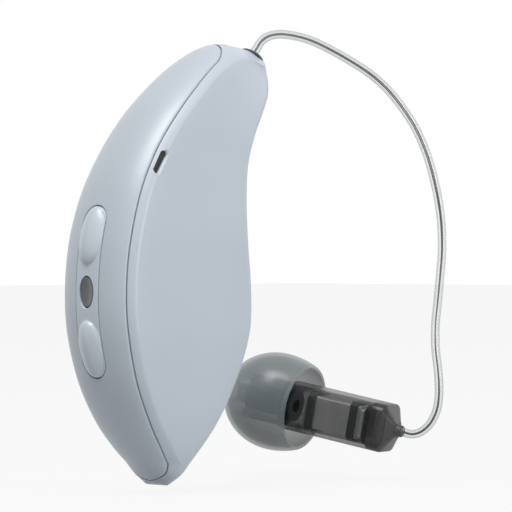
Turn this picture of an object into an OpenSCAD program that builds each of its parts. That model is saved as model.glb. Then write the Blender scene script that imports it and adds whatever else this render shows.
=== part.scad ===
// Behind the ear hearing aid with a receiver in the ear canal, for the right ear.
// +X is forward, +Y is towards the head, +Z is up. Lengths are in millimetres.
// The origin is the ear saddle: the deepest point of the concave front edge, at half thickness.

/* [Body] */
// Height of the casing, from the bottom tip to the top
body_h = 35; // [33:0.5:37]
// Depth of the casing at its middle, from the front edge to the spine
body_d = 14.5; // [14:0.1:15.5]
// Thickness of the casing between its two side faces
body_t = 8.2; // [8:0.1:9]
// Wall of the housing and of the spine cover
wall = 0.75; // [0.6:0.05:0.9]
// Depth of the crowned spine at the middle of the casing
crown_depth = 1.35; // [1.1:0.05:1.6]
// Radius of the crisp edge between the spine and a side face
edge_round = 0.35; // [0.2:0.05:0.5]
// Radius of the soft edge along the front
front_round = 0.85; // [0.6:0.05:1.1]

/* [Spine cover] */
// Open seam between the housing and the spine cover
seam_gap = 0.12; // [0.08:0.01:0.16]
// Width of the housing rim outside the seam
rim_w = 0.52; // [0.44:0.02:0.6]
// Depth of the ledge that the cover sits on, below the crown's edge
ledge_depth = 0.35; // [0.25:0.05:0.5]

/* [Rocker] */
// Length of the rocker along Z
rocker_h = 13.2; // [12.8:0.1:13.8]
// Width of the rocker
rocker_w = 2.5; // [2.3:0.1:2.7]
// Height of each raised nose above the spine
nose_rise = 0.6; // [0.4:0.05:0.8]
// Length of each raised nose
nose_h = 4.4; // [4.2:0.1:4.8]
// Gap round the rocker
rocker_gap = 0.1; // [0.08:0.01:0.14]
// Thickness of the rocker plate
rocker_t = 0.7; // [0.55:0.05:0.8]
// Height of the rocker's middle, measured from the saddle
rocker_z = -7.6; // [-8.2:0.1:-7]
// Depth of the rocker's hinge axis below the spine
hinge_depth = 1.6; // [1.5:0.05:1.8]
// Diameter of the rocker's trunnions
trunnion_d = 0.7; // [0.6:0.05:0.8]
// Width of the oval light window
window_w = 1.5; // [1.3:0.1:1.6]
// Length of the oval light window
window_h = 2.4; // [2.2:0.1:2.8]

/* [Battery] */
// Diameter of the rechargeable cell
battery_d = 9.4; // [8.8:0.1:9.6]
// Thickness of the rechargeable cell
battery_t = 4; // [3.6:0.1:4.2]
// Outer diameter of the charging coil
coil_d = 9; // [8:0.1:9.2]
// Inner diameter of the charging coil
coil_bore = 5; // [4:0.1:6]
// Thickness of the charging coil
coil_t = 0.45; // [0.35:0.05:0.5]

/* [Electronics] */
// Thickness of the circuit board
board_t = 0.5; // [0.4:0.05:0.6]
// Thickness of the moulded inner frame
frame_t = 0.7; // [0.6:0.05:0.8]
// Length of a microphone
mic_l = 2.5; // [2.2:0.1:2.6]
// Width of a microphone
mic_w = 3.2; // [2.8:0.1:3.4]
// Thickness of a microphone
mic_t = 1.1; // [0.9:0.05:1.2]
// Diameter of the telecoil
telecoil_d = 1.2; // [1:0.1:1.4]
// Length of the telecoil
telecoil_l = 4.6; // [4:0.1:5]

/* [Lead] */
// Outer diameter of the lead's clear tube
lead_d = 0.72; // [0.68:0.02:0.78]
// Bore of the lead's clear tube
lead_bore = 0.5; // [0.48:0.02:0.54]
// Diameter of one wire in the tube
wire_d = 0.17; // [0.14:0.01:0.18]
// Distance between the centres of the two wires
wire_pitch = 0.24; // [0.22:0.01:0.26]
// Diameter of the plug's collar at the top of the casing
collar_d = 2.1; // [2:0.05:2.2]
// Height of the plug's collar
collar_h = 0.2; // [0.15:0.05:0.4]
// Diameter of the plug in its socket
plug_d = 1.5; // [1.4:0.05:1.6]
// Length of the plug below its collar
plug_l = 4.2; // [3.8:0.1:4.4]

/* [Receiver] */
// Length of the receiver's shell and end cap
receiver_l = 10.4; // [10:0.1:10.8]
// Height of the receiver's shell
receiver_h = 4; // [3.8:0.1:4.2]
// Width of the receiver's shell
receiver_w = 3.4; // [3.2:0.1:3.6]
// Wall of the receiver's shell
receiver_wall = 0.32; // [0.28:0.02:0.36]
// Corner radius of the receiver's shell
receiver_round = 0.9; // [0.7:0.05:1.1]
// Length of the chamfered end cap
cap_l = 2; // [1.8:0.1:2.3]
// Outer diameter of the sound spout
spout_d = 2.2; // [2:0.1:2.4]
// Length of the sound spout past the shell
spout_l = 3.6; // [3.2:0.1:3.8]
// Diameter of the sound channel
sound_bore = 1.1; // [1:0.05:1.2]

/* [Ear dome] */
// Largest diameter of the dome
dome_d = 8.2; // [7.6:0.1:8.6]
// Diameter of the open rim of the dome's skirt
rim_d = 7.1; // [6.8:0.1:7.4]
// Length of the dome, from its rim to its nose
dome_l = 7.3; // [7:0.1:7.6]
// Thickness of the dome's silicone
dome_wall = 0.3; // [0.25:0.05:0.4]
// Outer diameter of the hub inside the dome
hub_d = 3.8; // [3.6:0.1:4]
// Diameter of the sound opening in the dome's nose
nose_bore = 1.6; // [1.5:0.05:1.8]

/* [Hidden] */
$fn = 48;
over = 1; // overrun of every cut
fit = 0.03; // running clearance on radius
play = 0.05; // gap between pieces that lie against each other
half_t = body_t / 2;

// Stations along the casing, from the bottom tip to the nose at the top.
// Shares of body_d and body_h, measured from the saddle.
spine_x_shares = [-0.48, -0.546, -0.642, -0.757, -0.866, -0.937, -0.952, -0.922, -0.837, -0.712,
    -0.553, -0.37, -0.193, -0.02, 0.2];
spine_z_shares = [-0.643, -0.617, -0.574, -0.509, -0.42, -0.31, -0.21, -0.1, 0.01, 0.103,
    0.186, 0.257, 0.311, 0.341, 0.333];
front_x_shares = [-0.435, -0.386, -0.32, -0.203, -0.083, 0.012, 0.022, 0, 0, 0.024,
    0.09, 0.18, 0.258, 0.303, 0.317];
front_z_shares = [-0.649, -0.621, -0.579, -0.511, -0.42, -0.31, -0.21, -0.106, -0.017, 0.066,
    0.131, 0.183, 0.223, 0.26, 0.294];
// Half thickness at the spine and at the front, as shares of half_t
spine_half_shares = [0.29, 0.61, 0.79, 0.905, 0.965, 1, 1, 1, 0.965, 0.925,
    0.9, 0.83, 0.72, 0.56, 0.26];
front_half_shares = [0.29, 0.61, 0.79, 0.905, 0.965, 1, 1, 1, 0.96, 0.915,
    0.855, 0.755, 0.62, 0.45, 0.26];
// How much softer the crown, the crisp edge and the front edge get towards the tips
crown_soft_shares = [1.8, 1.35, 1.1, 1, 1, 1, 1, 1, 1, 1, 1, 1, 1.1, 1.4, 2.6];
edge_soft_shares = [1.6, 1.4, 1.2, 1, 1, 1, 1, 1, 1, 1, 1, 1.1, 1.5, 2, 2];
front_soft_shares = [0.9, 1.2, 1.2, 1.1, 1, 1, 1, 1, 1, 1, 1, 1.1, 1.2, 1.2, 1.1];
top_t = len(spine_x_shares) - 1;
least_slant_share = 0.45;
round_most_share = 0.92;
crown_arc = 65; // degrees of the ellipse that the crown uses
crown_steps = 5;
front_angles = [30, 60, 90];

// Curves and sections of the casing
function unit(v) = v / norm(v);
function across(u, v) = abs(u[0] * v[1] - u[1] * v[0]);
function smooth(p, t) =
    let(i = min(max(floor(t), 0), len(p) - 2), f = t - i)
    let(a = p[max(i - 1, 0)], b = p[i], c = p[i + 1], d = p[min(i + 2, len(p) - 1)])
    b + f * ((c - a) + f * ((2 * a - 5 * b + 4 * c - d) + f * (3 * (b - c) + d - a))) / 2;
function spine_at(t) = [smooth(spine_x_shares, t) * body_d, smooth(spine_z_shares, t) * body_h];
function front_at(t) = [smooth(front_x_shares, t) * body_d, smooth(front_z_shares, t) * body_h];
function span_at(t) = norm(front_at(t) - spine_at(t));
function inward_at(t) = (front_at(t) - spine_at(t)) / span_at(t);
function along_at(t) = unit(spine_at(t + 0.1) - spine_at(t - 0.1));
function front_along_at(t) = unit(front_at(t + 0.1) - front_at(t - 0.1));
function spine_slant(t) = max(least_slant_share, across(along_at(t), inward_at(t)));
function front_slant(t) = max(least_slant_share, across(front_along_at(t), inward_at(t)));
function half_at(t) = min(1, smooth(spine_half_shares, t)) * half_t;
function front_half_at(t) = min(1, smooth(front_half_shares, t)) * half_t;
// Crown, crisp edge and soft front edge as they would be, and as the span leaves room for them
function free_crown(t) =
    crown_depth * smooth(crown_soft_shares, t) * half_at(t) / half_t / spine_slant(t);
function free_edge(t) = edge_round * smooth(edge_soft_shares, t);
function free_soft(t) = front_round * smooth(front_soft_shares, t);
function squeeze_at(t) =
    min(1, round_most_share * span_at(t) / (free_crown(t) + free_edge(t) + free_soft(t)));
function crown_at(t) = free_crown(t) * squeeze_at(t);
function edge_at(t) = free_edge(t) * squeeze_at(t);
function soft_at(t) = free_soft(t) * squeeze_at(t);
// Depth of the crown's surface below the spine, y away from the middle
function crown_drop(t, y) =
    crown_at(t) * (1 - cos(asin(min(1, y / half_at(t)) * sin(crown_arc)))) / (1 - cos(crown_arc));
// The place t on the spine whose height is z
function spine_t(z, lo = 1, hi = 12, steps = 24) =
    let(mid = (lo + hi) / 2)
    steps == 0 ? mid
        : spine_at(mid)[1] < z ? spine_t(z, mid, hi, steps - 1) : spine_t(z, lo, mid, steps - 1);

// Half of a section as [depth, y] pairs from the spine to the front, inset from the outside
function half_section(t, inset) =
    let(half = half_at(t) - inset, front_half = front_half_at(t) - inset)
    let(start = inset / spine_slant(t), end = span_at(t) - inset / front_slant(t))
    let(crown = crown_at(t) * half / half_at(t), edge = edge_at(t) * half / half_at(t))
    let(soft = soft_at(t) * front_half / front_half_at(t))
    let(bow = edge_soft_share * edge)
    concat(
        [for (k = [0:crown_steps]) let(a = crown_arc * k / crown_steps)
            [start + crown * (1 - cos(a)) / (1 - cos(crown_arc)),
                (half - bow) * sin(a) / sin(crown_arc)]],
        [[start + crown + bow, half - bow * bow_share], [start + crown + edge, half],
            [end - soft, front_half]],
        [for (a = front_angles)
            [end - soft + soft * sin(a), front_half - soft + soft * cos(a)]],
        [[end, 0]]);
edge_soft_share = 0.4;
bow_share = 0.25;
// A whole section, round from the middle of the spine
function whole(half) = concat(half,
    [for (k = [len(half) - 2:-1:1]) [half[k][0], -half[k][1]]]);
function placed(t, section) =
    let(s = spine_at(t), d = inward_at(t))
    [for (q = section) [s[0] + d[0] * q[0], q[1], s[1] + d[1] * q[0]]];
function flat_list(lists) = [for (l = lists) for (v = l) v];

// A closed skin over rings of points that all have the same count
module skin(rings) {
    n = len(rings[0]);
    m = len(rings);
    mid = [for (ring = [rings[0], rings[m - 1]]) [for (k = [0:2]) sum_of(ring, k) / n]];
    polyhedron(
        points = concat(flat_list(rings), mid),
        faces = concat(
            [for (r = [0:m - 2]) for (k = [0:n - 1])
                [r * n + k, r * n + (k + 1) % n, (r + 1) * n + k]],
            [for (r = [0:m - 2]) for (k = [0:n - 1])
                [(r + 1) * n + k, r * n + (k + 1) % n, (r + 1) * n + (k + 1) % n]],
            [for (k = [0:n - 1]) [n * m, (k + 1) % n, k]],
            [for (k = [0:n - 1]) [n * m + 1, (m - 1) * n + k, (m - 1) * n + (k + 1) % n]]));
}
function sum_of(list, k, i = 0) = i == len(list) ? 0 : list[i][k] + sum_of(list, k, i + 1);

// The casing between two stations, inset from the outside
module casing(lo, hi, inset, steps) {
    skin([for (k = [0:steps]) let(t = lo + (hi - lo) * k / steps)
        placed(t, whole(half_section(t, inset)))]);
}

// Stations and width factors of an outline with round ends, like a pill
function pill(lo, hi, round_lo, round_hi, steps) = concat(
    [for (a = pill_angles) [lo + round_lo * (1 - cos(a)), sin(max(a, pill_least_angle))]],
    [for (k = [0:steps]) [lo + round_lo + (hi - round_hi - lo - round_lo) * k / steps, 1]],
    [for (k = [len(pill_angles) - 1:-1:0]) let(a = pill_angles[k])
        [hi - round_hi * (1 - cos(a)), sin(max(a, pill_least_angle))]]);
pill_angles = [0, 22, 44, 66];
pill_least_angle = 9;

// A sweep of short hulls over rings of points
module sweep(rings) {
    for (r = [0:len(rings) - 2])
        hull() polyhedron(points = concat(rings[r], rings[r + 1]),
            faces = [[for (k = [0:2 * len(rings[r]) - 1]) k]]);
}

// Cutter for the spine cover's seat, drawn in by a gap
seat_lo = 0.28;
seat_hi = 12.98;
seat_round_lo = 0.75;
seat_round_hi = 1.2;
function seat_half(t) = half_at(t) - rim_w;
module seat(gap, depth) {
    shift = gap / spine_step;
    sweep([for (p = pill(seat_lo + shift, seat_hi - shift, seat_round_lo, seat_round_hi, seat_steps))
        let(t = p[0], half = seat_half(t) * p[1] - gap, floor_w = crown_at(t) + depth)
        placed(t, [[-over, -half], [floor_w, -half], [floor_w, half], [-over, half]])]);
}
spine_step = 3; // rough length of the spine between two stations
seat_steps = 18;

// A frame on the spine: +X inward, +Z up along the spine, at a depth below the crown
module on_spine(t, depth = 0) {
    s = spine_at(t);
    a = along_at(t);
    translate([s[0] + a[1] * depth, 0, s[1] - a[0] * depth])
        rotate([0, atan2(a[0], a[1]), 0]) children();
}

// Plug axis at the nose
nose_mid = (spine_at(top_t) + front_at(top_t)) / 2;
nose_out = [-inward_at(top_t)[1], inward_at(top_t)[0]];
module at_plug() {
    translate([nose_mid[0], 0, nose_mid[1]]) rotate([0, atan2(nose_out[0], nose_out[1]), 0]) children();
}

// Rocker
rocker_lo = spine_t(rocker_z - rocker_h / 2);
rocker_hi = spine_t(rocker_z + rocker_h / 2);
rocker_mid = spine_t(rocker_z);
rocker_round = 0.32; // round ends, in stations
hinge_x = spine_at(rocker_mid)[0] + hinge_depth;
nose_power = 0.8;
lug_w = 0.5;
lug_in = 0.1;
lug_y = window_w / 2 - lug_in;
lug_root = 0.15; // how far a lug reaches into the plate
lug_lip = 0.15; // wall under the pin
ear_y = rocker_w / 2 + rocker_gap + play;
ear_w = 0.55;
ear_h = 1.6;
ear_depth = 1.1; // from the spine to the ears' tips
trunnion_r = trunnion_d / 2;
module on_hinge() {
    translate([hinge_x, 0, rocker_z]) children();
}
// How far a nose stands up at height z and y away from the middle
function nose_at(z, y) =
    let(s = (rocker_h / 2 - abs(z - rocker_z)) / nose_h)
    let(e = pow((s - nose_peak_share) / nose_peak_share, 2) * (s < nose_peak_share ? 1 : nose_fall_share))
    let(q = 1 - e - pow(y / (rocker_w / 2) * nose_side_share, 2))
    q <= 0 ? 0 : nose_rise * pow(q, nose_power);
nose_peak_share = 0.55;
nose_fall_share = 1.5;
nose_side_share = 0.98;
rocker_side_shares = [-1, -0.8, -0.5, -0.2, 0.2, 0.5, 0.8, 1];
module rocker_strip(gap, rise, lo_w, hi_w) {
    shift = gap / spine_step;
    sweep([for (p = pill(rocker_lo - shift, rocker_hi + shift, rocker_round, rocker_round, rocker_steps))
        let(t = p[0], half = (rocker_w / 2 + gap) * p[1], z = spine_at(t)[1])
        placed(t, concat(
            [for (s = rocker_side_shares)
                [crown_drop(t, abs(s) * half) + lo_w - rise * nose_at(z, abs(s) * half), s * half]],
            [[hi_w, half], [hi_w, -half]]))]);
}
rocker_steps = 20;
// Rounded oval prism along X
module oval(w, h, lo_x, hi_x) {
    translate([lo_x, 0, 0]) rotate([0, 90, 0]) linear_extrude(hi_x - lo_x) {
        square([h - w, w], center = true);
        translate([(h - w) / 2, 0]) circle(d = w);
        translate([(w - h) / 2, 0]) circle(d = w);
    }
}

// Places inside the casing
rail_depth = 2.45; // from the spine to the face that carries the switches
rail_x = spine_at(rocker_mid)[0] + rail_depth;
rail_t = 0.6;
rail_w = 2.4;
rail_h = 11.8;
flex_t = 0.12;
switch_h = 0.6;
switch_w = 1.9;
pad_z = 4.6; // from the rocker's middle to each pad and switch
pad_d = 1.3;
pad_gap = 0.2;
switch_top_x = rail_x - flex_t - switch_h;
battery_x = rail_x + rail_t + 2 * play + battery_d / 2;
battery_z_share = -0.3314;
battery_z = battery_z_share * body_h;
tab_t = 0.12;
tab_w = 1.6;
tab_x = 1.5; // from the cell's axis to each tab
tab_rise = 0.3; // from the cell's rim to the tabs' legs
tab_foot = 2.3; // from a tab's leg to its solder pad on the board
ferrite_t = 0.25;
board_y = -frame_t / 2 - board_t;
cavity_half = half_t - wall;
cavity_lo = 1.6;
cavity_hi = 12.85;
casing_steps = 48;
nose_over = 0.1; // stations past the nose's flat end, which trims them off
cavity_steps = 24;
// Posts of the inner frame: places from the cell as shares of its diameter, and share of half_t
post_shares = [[-0.234, -0.69, 0.84], [0.436, 0.68, 1], [0.521, 1.787, 0.8]];
posts = [for (p = post_shares)
    [battery_x + p[0] * battery_d, battery_z + p[1] * battery_d, p[2] * half_t - wall - play]];
post_d = 1.3;

// Flat plate in the plane of the casing, between two outlines
module plate(outline, lo_y, hi_y) {
    translate([0, hi_y, 0]) rotate([90, 0, 0]) linear_extrude(hi_y - lo_y) polygon(outline);
}
// Outline that follows the spine and the front, inset from both
function inset_outline(lo, hi, spine_in, front_in, steps) = concat(
    [for (k = [0:steps]) let(t = lo + (hi - lo) * k / steps) spine_at(t) + inward_at(t) * spine_in],
    [for (k = [steps:-1:0]) let(t = lo + (hi - lo) * k / steps) front_at(t) - inward_at(t) * front_in]);
function front_band(lo, hi, near, far, steps) = concat(
    [for (k = [0:steps]) let(t = lo + (hi - lo) * k / steps) front_at(t) - inward_at(t) * near],
    [for (k = [steps:-1:0]) let(t = lo + (hi - lo) * k / steps) front_at(t) - inward_at(t) * far]);
// Rod across the casing
module rod(x, z, d, lo_y, hi_y) {
    translate([x, hi_y, z]) rotate([90, 0, 0]) cylinder(d = d, h = hi_y - lo_y);
}
// Box from its lowest corner and its sizes
module box(corner, sizes) {
    translate(corner) cube(sizes);
}

// Microphone ports
port_step = 0.18; // stations from the seat's end to the front port
front_port_t = seat_hi + port_step;
front_port_w = 1.5;
front_port_l = 0.4;
front_port_depth = 1.5;
port_channel_w = 0.8;
port_channel_d = 0.6;
port_channel_l = 2;
rear_port_t = 8.85;
rear_port_l = 2;
rear_port_h = 0.55;
rear_mic_z = 2.4;
module front_port() {
    on_spine(front_port_t) {
        box([-over, -front_port_w / 2, -front_port_l / 2],
            [over + front_port_depth, front_port_w, front_port_l]);
        box([front_port_depth - port_channel_d, -port_channel_w / 2, -port_channel_l],
            [port_channel_d, port_channel_w, port_channel_l]);
    }
}
module rear_port(lo_y, hi_y, l, h) {
    on_spine(rear_port_t, crown_at(rear_port_t))
        translate([0, hi_y, 0]) rotate([90, 0, 0]) linear_extrude(hi_y - lo_y) {
            square([h, l - h], center = true);
            translate([0, (l - h) / 2]) circle(d = h);
            translate([0, (h - l) / 2]) circle(d = h);
        }
}

// Casing
module housing() {
    color("#b7c2ce") difference() {
        casing(0, top_t + nose_over, 0, casing_steps);
        casing(cavity_lo, cavity_hi, wall, cavity_steps);
        seat(0, ledge_depth);
        at_plug() {
            box([-body_t, -body_t, 0], [2 * body_t, 2 * body_t, over]);
            translate([0, 0, -over * 2]) cylinder(d = plug_d + 2 * fit, h = over * 3);
            translate([0, 0, -plug_l - over])
                cylinder(d = socket_d + 2 * play, h = plug_l + over - nose_wall);
        }
        front_port();
        rear_port(-half_t - over, -cavity_half + play, rear_port_l, rear_port_h);
    }
}
module spine_cover() {
    color("#c2ccd6") difference() {
        intersection() {
            casing(0, top_t, 0, casing_steps);
            seat(seam_gap, ledge_depth - play);
        }
        casing(cavity_lo, cavity_hi, wall, cavity_steps);
        rocker_strip(rocker_gap, 0, -over, rail_depth);
        at_plug() translate([0, 0, -plug_l - over]) cylinder(d = socket_d + 2 * play, h = plug_l + over);
    }
}

// Controls
module control_rocker() {
    color("#c6cfd9") difference() {
        union() {
            rocker_strip(0, 1, 0, rocker_t);
            for (side = [-1, 1]) {
                lug_x = rocker_t - lug_root - hinge_depth;
                lug_corner = [lug_x, side > 0 ? lug_y : -lug_y - lug_w, -trunnion_d];
                lug_l = hinge_depth + lug_root - rocker_t + trunnion_r + lug_lip;
                on_hinge() box(lug_corner, [lug_l, lug_w, 2 * trunnion_d]);
                pad_lo_x = spine_at(spine_t(rocker_z + side * pad_z))[0] + rocker_t - lug_root;
                translate([pad_lo_x, 0, rocker_z + side * pad_z])
                    rotate([0, 90, 0]) cylinder(d = pad_d, h = switch_top_x - pad_gap - pad_lo_x);
            }
        }
        on_hinge() {
            oval(window_w + 2 * play, window_h + 2 * play, -hinge_depth - over,
                rocker_t + over / 2 - hinge_depth);
            rod(0, 0, trunnion_d + fit, -rocker_w, rocker_w);
        }
    }
}
module rocker_pins() {
    color("#a9adb1") on_hinge() {
        rod(0, 0, trunnion_d, lug_y + play, ear_y + ear_w);
        rod(0, 0, trunnion_d, -ear_y - ear_w, -lug_y - play);
    }
}
module light_window() {
    color("#6b6f73") on_hinge() {
        oval(window_w, window_h, window_sink - hinge_depth, rocker_t - hinge_depth);
        oval(stem_d, window_h / 2, rocker_t - hinge_depth - play, rocker_t + stem_l - hinge_depth);
    }
}
window_sink = 0.08;
stem_d = 0.9;
stem_l = 0.4;

// Microphones
module front_mic_screen() {
    color("#2b2d30") on_spine(front_port_t, screen_sink)
        box([0, play / 2 - front_port_w / 2, play / 2 - front_port_l / 2],
            [screen_t, front_port_w - play, front_port_l - play]);
}
module rear_mic_screen() {
    color("#2b2d30") rear_port(-half_t + screen_sink, -half_t + screen_sink + screen_t,
        rear_port_l - play, rear_port_h - play);
}
screen_sink = 0.3;
screen_t = 0.12;
front_mic_t = 12;
front_mic_depth = 1.25;
module front_microphone() {
    color("#c9b26b") on_spine(front_mic_t, front_mic_depth)
        box([0, -mic_w / 2, -mic_l / 2], [mic_t, mic_w, mic_l]);
}
module front_mic_seal() {
    color("#3a3c3f") on_spine(front_mic_t, front_mic_depth) difference() {
        box([0, -seal_w / 2, mic_l / 2 + play / 2], [mic_t, seal_w, seal_l]);
        box([mic_t / 2 - sound_port / 2, -sound_port / 2, mic_l / 2 - over],
            [sound_port, sound_port, seal_l + 2 * over]);
    }
}
seal_w = 1.5;
seal_l = 0.9;
sound_port = 0.5;
rear_mic_inset = 2.5; // from the spine at the port to the microphone
rear_seal_t = 0.5;
rear_mic_share = 0.75;
rear_mic_w = rear_mic_share * mic_w;
rear_seal_y = wall + play - half_at(rear_port_t + 0.8);
rear_mic_x = spine_at(rear_port_t)[0] + rear_mic_inset;
rear_mic_y = rear_seal_y + rear_seal_t + play;
module rear_microphone() {
    color("#c9b26b") box([rear_mic_x, rear_mic_y, rear_mic_z - mic_l / 2], [rear_mic_w, mic_t, mic_l]);
}
module rear_mic_seal() {
    color("#3a3c3f") difference() {
        box([rear_mic_x, rear_seal_y, rear_mic_z - seal_w / 2], [seal_w, rear_seal_t, seal_w]);
        rod(rear_mic_x + seal_w / 2, rear_mic_z, sound_port, -half_t, 0);
    }
}

// Inner frame and electronics: stations of their ends, and gaps to the spine and the front
frame_lo = 1.7;
frame_hi = 11;
frame_gap = 0.4;
frame_steps = 24;
tab_slot_w = 2 * tab_x + tab_w + 0.6;
tab_slot_h = 0.9;
board_lo = 6.7;
board_hi = 10.8;
board_in = 3.3;
board_gap = 0.75;
board_steps = 12;
module inner_frame() {
    color("#4a4d52") difference() {
        union() {
            for (side = [-1, 1])
                on_hinge() box([ear_depth - hinge_depth, side > 0 ? ear_y : -ear_y - ear_w, -ear_h / 2],
                    [rail_depth - ear_depth + rail_t, ear_w, ear_h]);
            on_hinge() box([rail_depth - hinge_depth, -ear_y - ear_w, -ear_h / 2],
                [rail_t, 2 * (ear_y + ear_w), ear_h]);
            plate(inset_outline(frame_lo, frame_hi, rail_depth, wall + frame_gap, frame_steps),
                -frame_t / 2, frame_t / 2);
            box([rail_x, -rail_w / 2, rocker_z - rail_h / 2], [rail_t, rail_w, rail_h]);
            for (p = posts) rod(p[0], p[1], post_d, -p[2], p[2]);
        }
        on_hinge() rod(0, 0, trunnion_d + 2 * fit, -half_t, half_t);
        rod(battery_x, battery_z, battery_d + 2 * play, -half_t, half_t);
        box([battery_x - tab_slot_w / 2, -half_t, battery_z], [tab_slot_w, body_t, battery_d / 2 + tab_slot_h]);
    }
}
module circuit_board() {
    color("#1f5a3c") difference() {
        plate(inset_outline(board_lo, board_hi, board_in, wall + board_gap, board_steps), board_y, -frame_t / 2);
        for (p = posts) rod(p[0], p[1], post_d + 2 * play, -half_t, half_t);
    }
}
main_chip_x = battery_x - 2.4;
main_chip_z = battery_z + 7.4;
main_chip_w = 4.4;
main_chip_t = 1.1;
main_chip_h = 3.6;
chip_gap = 0.2;
chip_t = 0.75;
chip_z = 0.9; // lower edge of the two upper chips
chip_w = 2.2;
chip_h = 2.4;
small_chip_w = 1.6;
module signal_chips() {
    color("#232427") {
        box([main_chip_x, board_y - main_chip_t, main_chip_z], [main_chip_w, main_chip_t, main_chip_h]);
        box([rear_mic_x + rear_mic_w + chip_gap, board_y - chip_t, chip_z], [chip_w, chip_t, chip_h]);
        box([rear_mic_x + rear_mic_w + 2 * chip_gap + chip_w, board_y - chip_t, chip_z],
            [small_chip_w, chip_t, chip_h]);
    }
}
part_l = 0.6;
part_w = 0.32;
part_t = 0.35;
part_pitch = 0.75;
module small_components() {
    color("#a58f6a")
        for (k = [0:4]) {
            part_x = main_chip_x + main_chip_w + part_pitch * (k % 2 + 0.5);
            box([part_x, board_y - part_t, main_chip_z + part_pitch * k], [part_l, part_t, part_w]);
            box([main_chip_x + part_l + part_pitch * k, board_y - part_t, chip_z + chip_h + part_pitch],
                [part_w, part_t, part_l]);
        }
}
module switch_flex() {
    color("#b8742c") box([rail_x - flex_t, -rail_w / 2, rocker_z - rail_h / 2], [flex_t, rail_w, rail_h]);
}
switch_shares = [0.6, 0.8, 0.5]; // body height, and the dome's foot and top
module tactile_switches() {
    color("#c8ccd0")
        for (side = [-1, 1])
            translate([rail_x - flex_t, 0, rocker_z + side * pad_z]) rotate([0, -90, 0]) {
                linear_extrude(switch_h * switch_shares[0]) square(switch_w, center = true);
                cylinder(d1 = switch_w * switch_shares[1], d2 = switch_w * switch_shares[2], h = switch_h);
            }
}
led_t = 0.4;
led_w = 1;
led_h = 0.7;
module status_led() {
    color("#e9e6d8") box([rail_x - flex_t - led_t, -led_w / 2, rocker_z - led_h / 2], [led_t, led_w, led_h]);
}
cell_lid_t = 0.3;
cell_rim = 0.5;
module battery_cell() {
    color("#aeb2b6") {
        rod(battery_x, battery_z, battery_d, -battery_t / 2, battery_t / 2 - cell_lid_t);
        rod(battery_x, battery_z, battery_d - 2 * cell_rim, battery_t / 2 - 2 * cell_lid_t, battery_t / 2);
    }
}
module battery_tabs() {
    color("#c9cbcd")
        for (side = [-1, 1]) {
            lo_x = battery_x + side * tab_x - tab_w / 2;
            face_y = battery_t / 2;
            lo_y = side > 0 ? board_y - tab_t : -face_y - tab_t;
            hi_y = side > 0 ? face_y + tab_t : board_y;
            leg_z = battery_z + battery_d / 2 + tab_rise;
            box([lo_x, side > 0 ? face_y : -face_y - tab_t, battery_z - tab_x],
                [tab_w, tab_t, leg_z + tab_t - battery_z + tab_x]);
            box([lo_x, lo_y, leg_z], [tab_w, hi_y - lo_y, tab_t]);
            box([lo_x, board_y - tab_t, leg_z], [tab_w, tab_t, tab_foot]);
        }
}
module ferrite_disc() {
    color("#3c3835") rod(battery_x, battery_z, coil_d + 2 * play, ferrite_y - ferrite_t, ferrite_y);
}
ferrite_y = -battery_t / 2 - tab_t - play;
module charging_coil() {
    color("#b5622f") difference() {
        rod(battery_x, battery_z, coil_d, ferrite_y - ferrite_t - coil_t, ferrite_y - ferrite_t);
        rod(battery_x, battery_z, coil_bore, -half_t, 0);
    }
}
antenna_lo = 5.2; // stations of its ends
antenna_hi = 9.4;
antenna_gap = 0.08;
antenna_t = 0.15;
antenna_w = 4;
antenna_steps = 12;
module antenna() {
    near = wall + antenna_gap;
    color("#c78f4a") plate(front_band(antenna_lo, antenna_hi, near, near + antenna_t, antenna_steps),
        -antenna_w / 2, antenna_w / 2);
}
telecoil_x = 2; // from the cell's axis
telecoil_z = 10;
module telecoil() {
    color("#7d4a2a") translate([battery_x + telecoil_x, frame_t / 2 + telecoil_d / 2, battery_z + telecoil_z])
        cylinder(d = telecoil_d, h = telecoil_l);
}

// Lead plug and its socket, along the plug's axis
socket_d = 2.4;
nose_wall = 0.85;
contact_h = 0.45;
contact_depths = [1.5, 2.4, 3.3];
contact_t = 0.15;
ring_t = 0.25;
socket_ring_d = plug_d + 2 * ring_t;
socket_floor = 0.4;
module lead_socket() {
    color("#2f3236") at_plug() difference() {
        translate([0, 0, -plug_l - socket_floor])
            cylinder(d = socket_d, h = plug_l + socket_floor - nose_wall - play);
        translate([0, 0, -plug_l - play]) cylinder(d = plug_d + 2 * fit, h = plug_l + over);
        for (z = contact_depths)
            translate([0, 0, -z - play / 2 - contact_h]) cylinder(d = socket_ring_d + 2 * fit, h = contact_h + play);
    }
}
module socket_contacts() {
    color("#d4b24c") at_plug() for (z = contact_depths) translate([0, 0, -z - contact_h]) difference() {
        cylinder(d = socket_ring_d, h = contact_h);
        translate([0, 0, -over]) cylinder(d = plug_d + 2 * fit, h = contact_h + 2 * over);
    }
}
module lead_plug() {
    color("#54585c") at_plug() difference() {
        union() {
            translate([0, 0, play]) cylinder(d = collar_d, h = collar_h - play);
            translate([0, 0, -plug_l]) cylinder(d = plug_d, h = plug_l + 2 * play);
        }
        translate([0, 0, collar_h / 2]) cylinder(d = lead_d + 2 * fit, h = over);
        for (z = contact_depths)
            translate([0, 0, -z - contact_h]) difference() {
                cylinder(d = plug_d + over, h = contact_h);
                cylinder(d = plug_d - 2 * contact_t, h = contact_h);
            }
    }
}
module plug_contacts() {
    color("#d4b24c") at_plug() for (z = contact_depths) translate([0, 0, -z - contact_h + fit / 2]) difference() {
        cylinder(d = plug_d, h = contact_h - fit);
        translate([0, 0, -over]) cylinder(d = plug_d - 2 * contact_t + fit, h = contact_h + 2 * over);
    }
}

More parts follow.
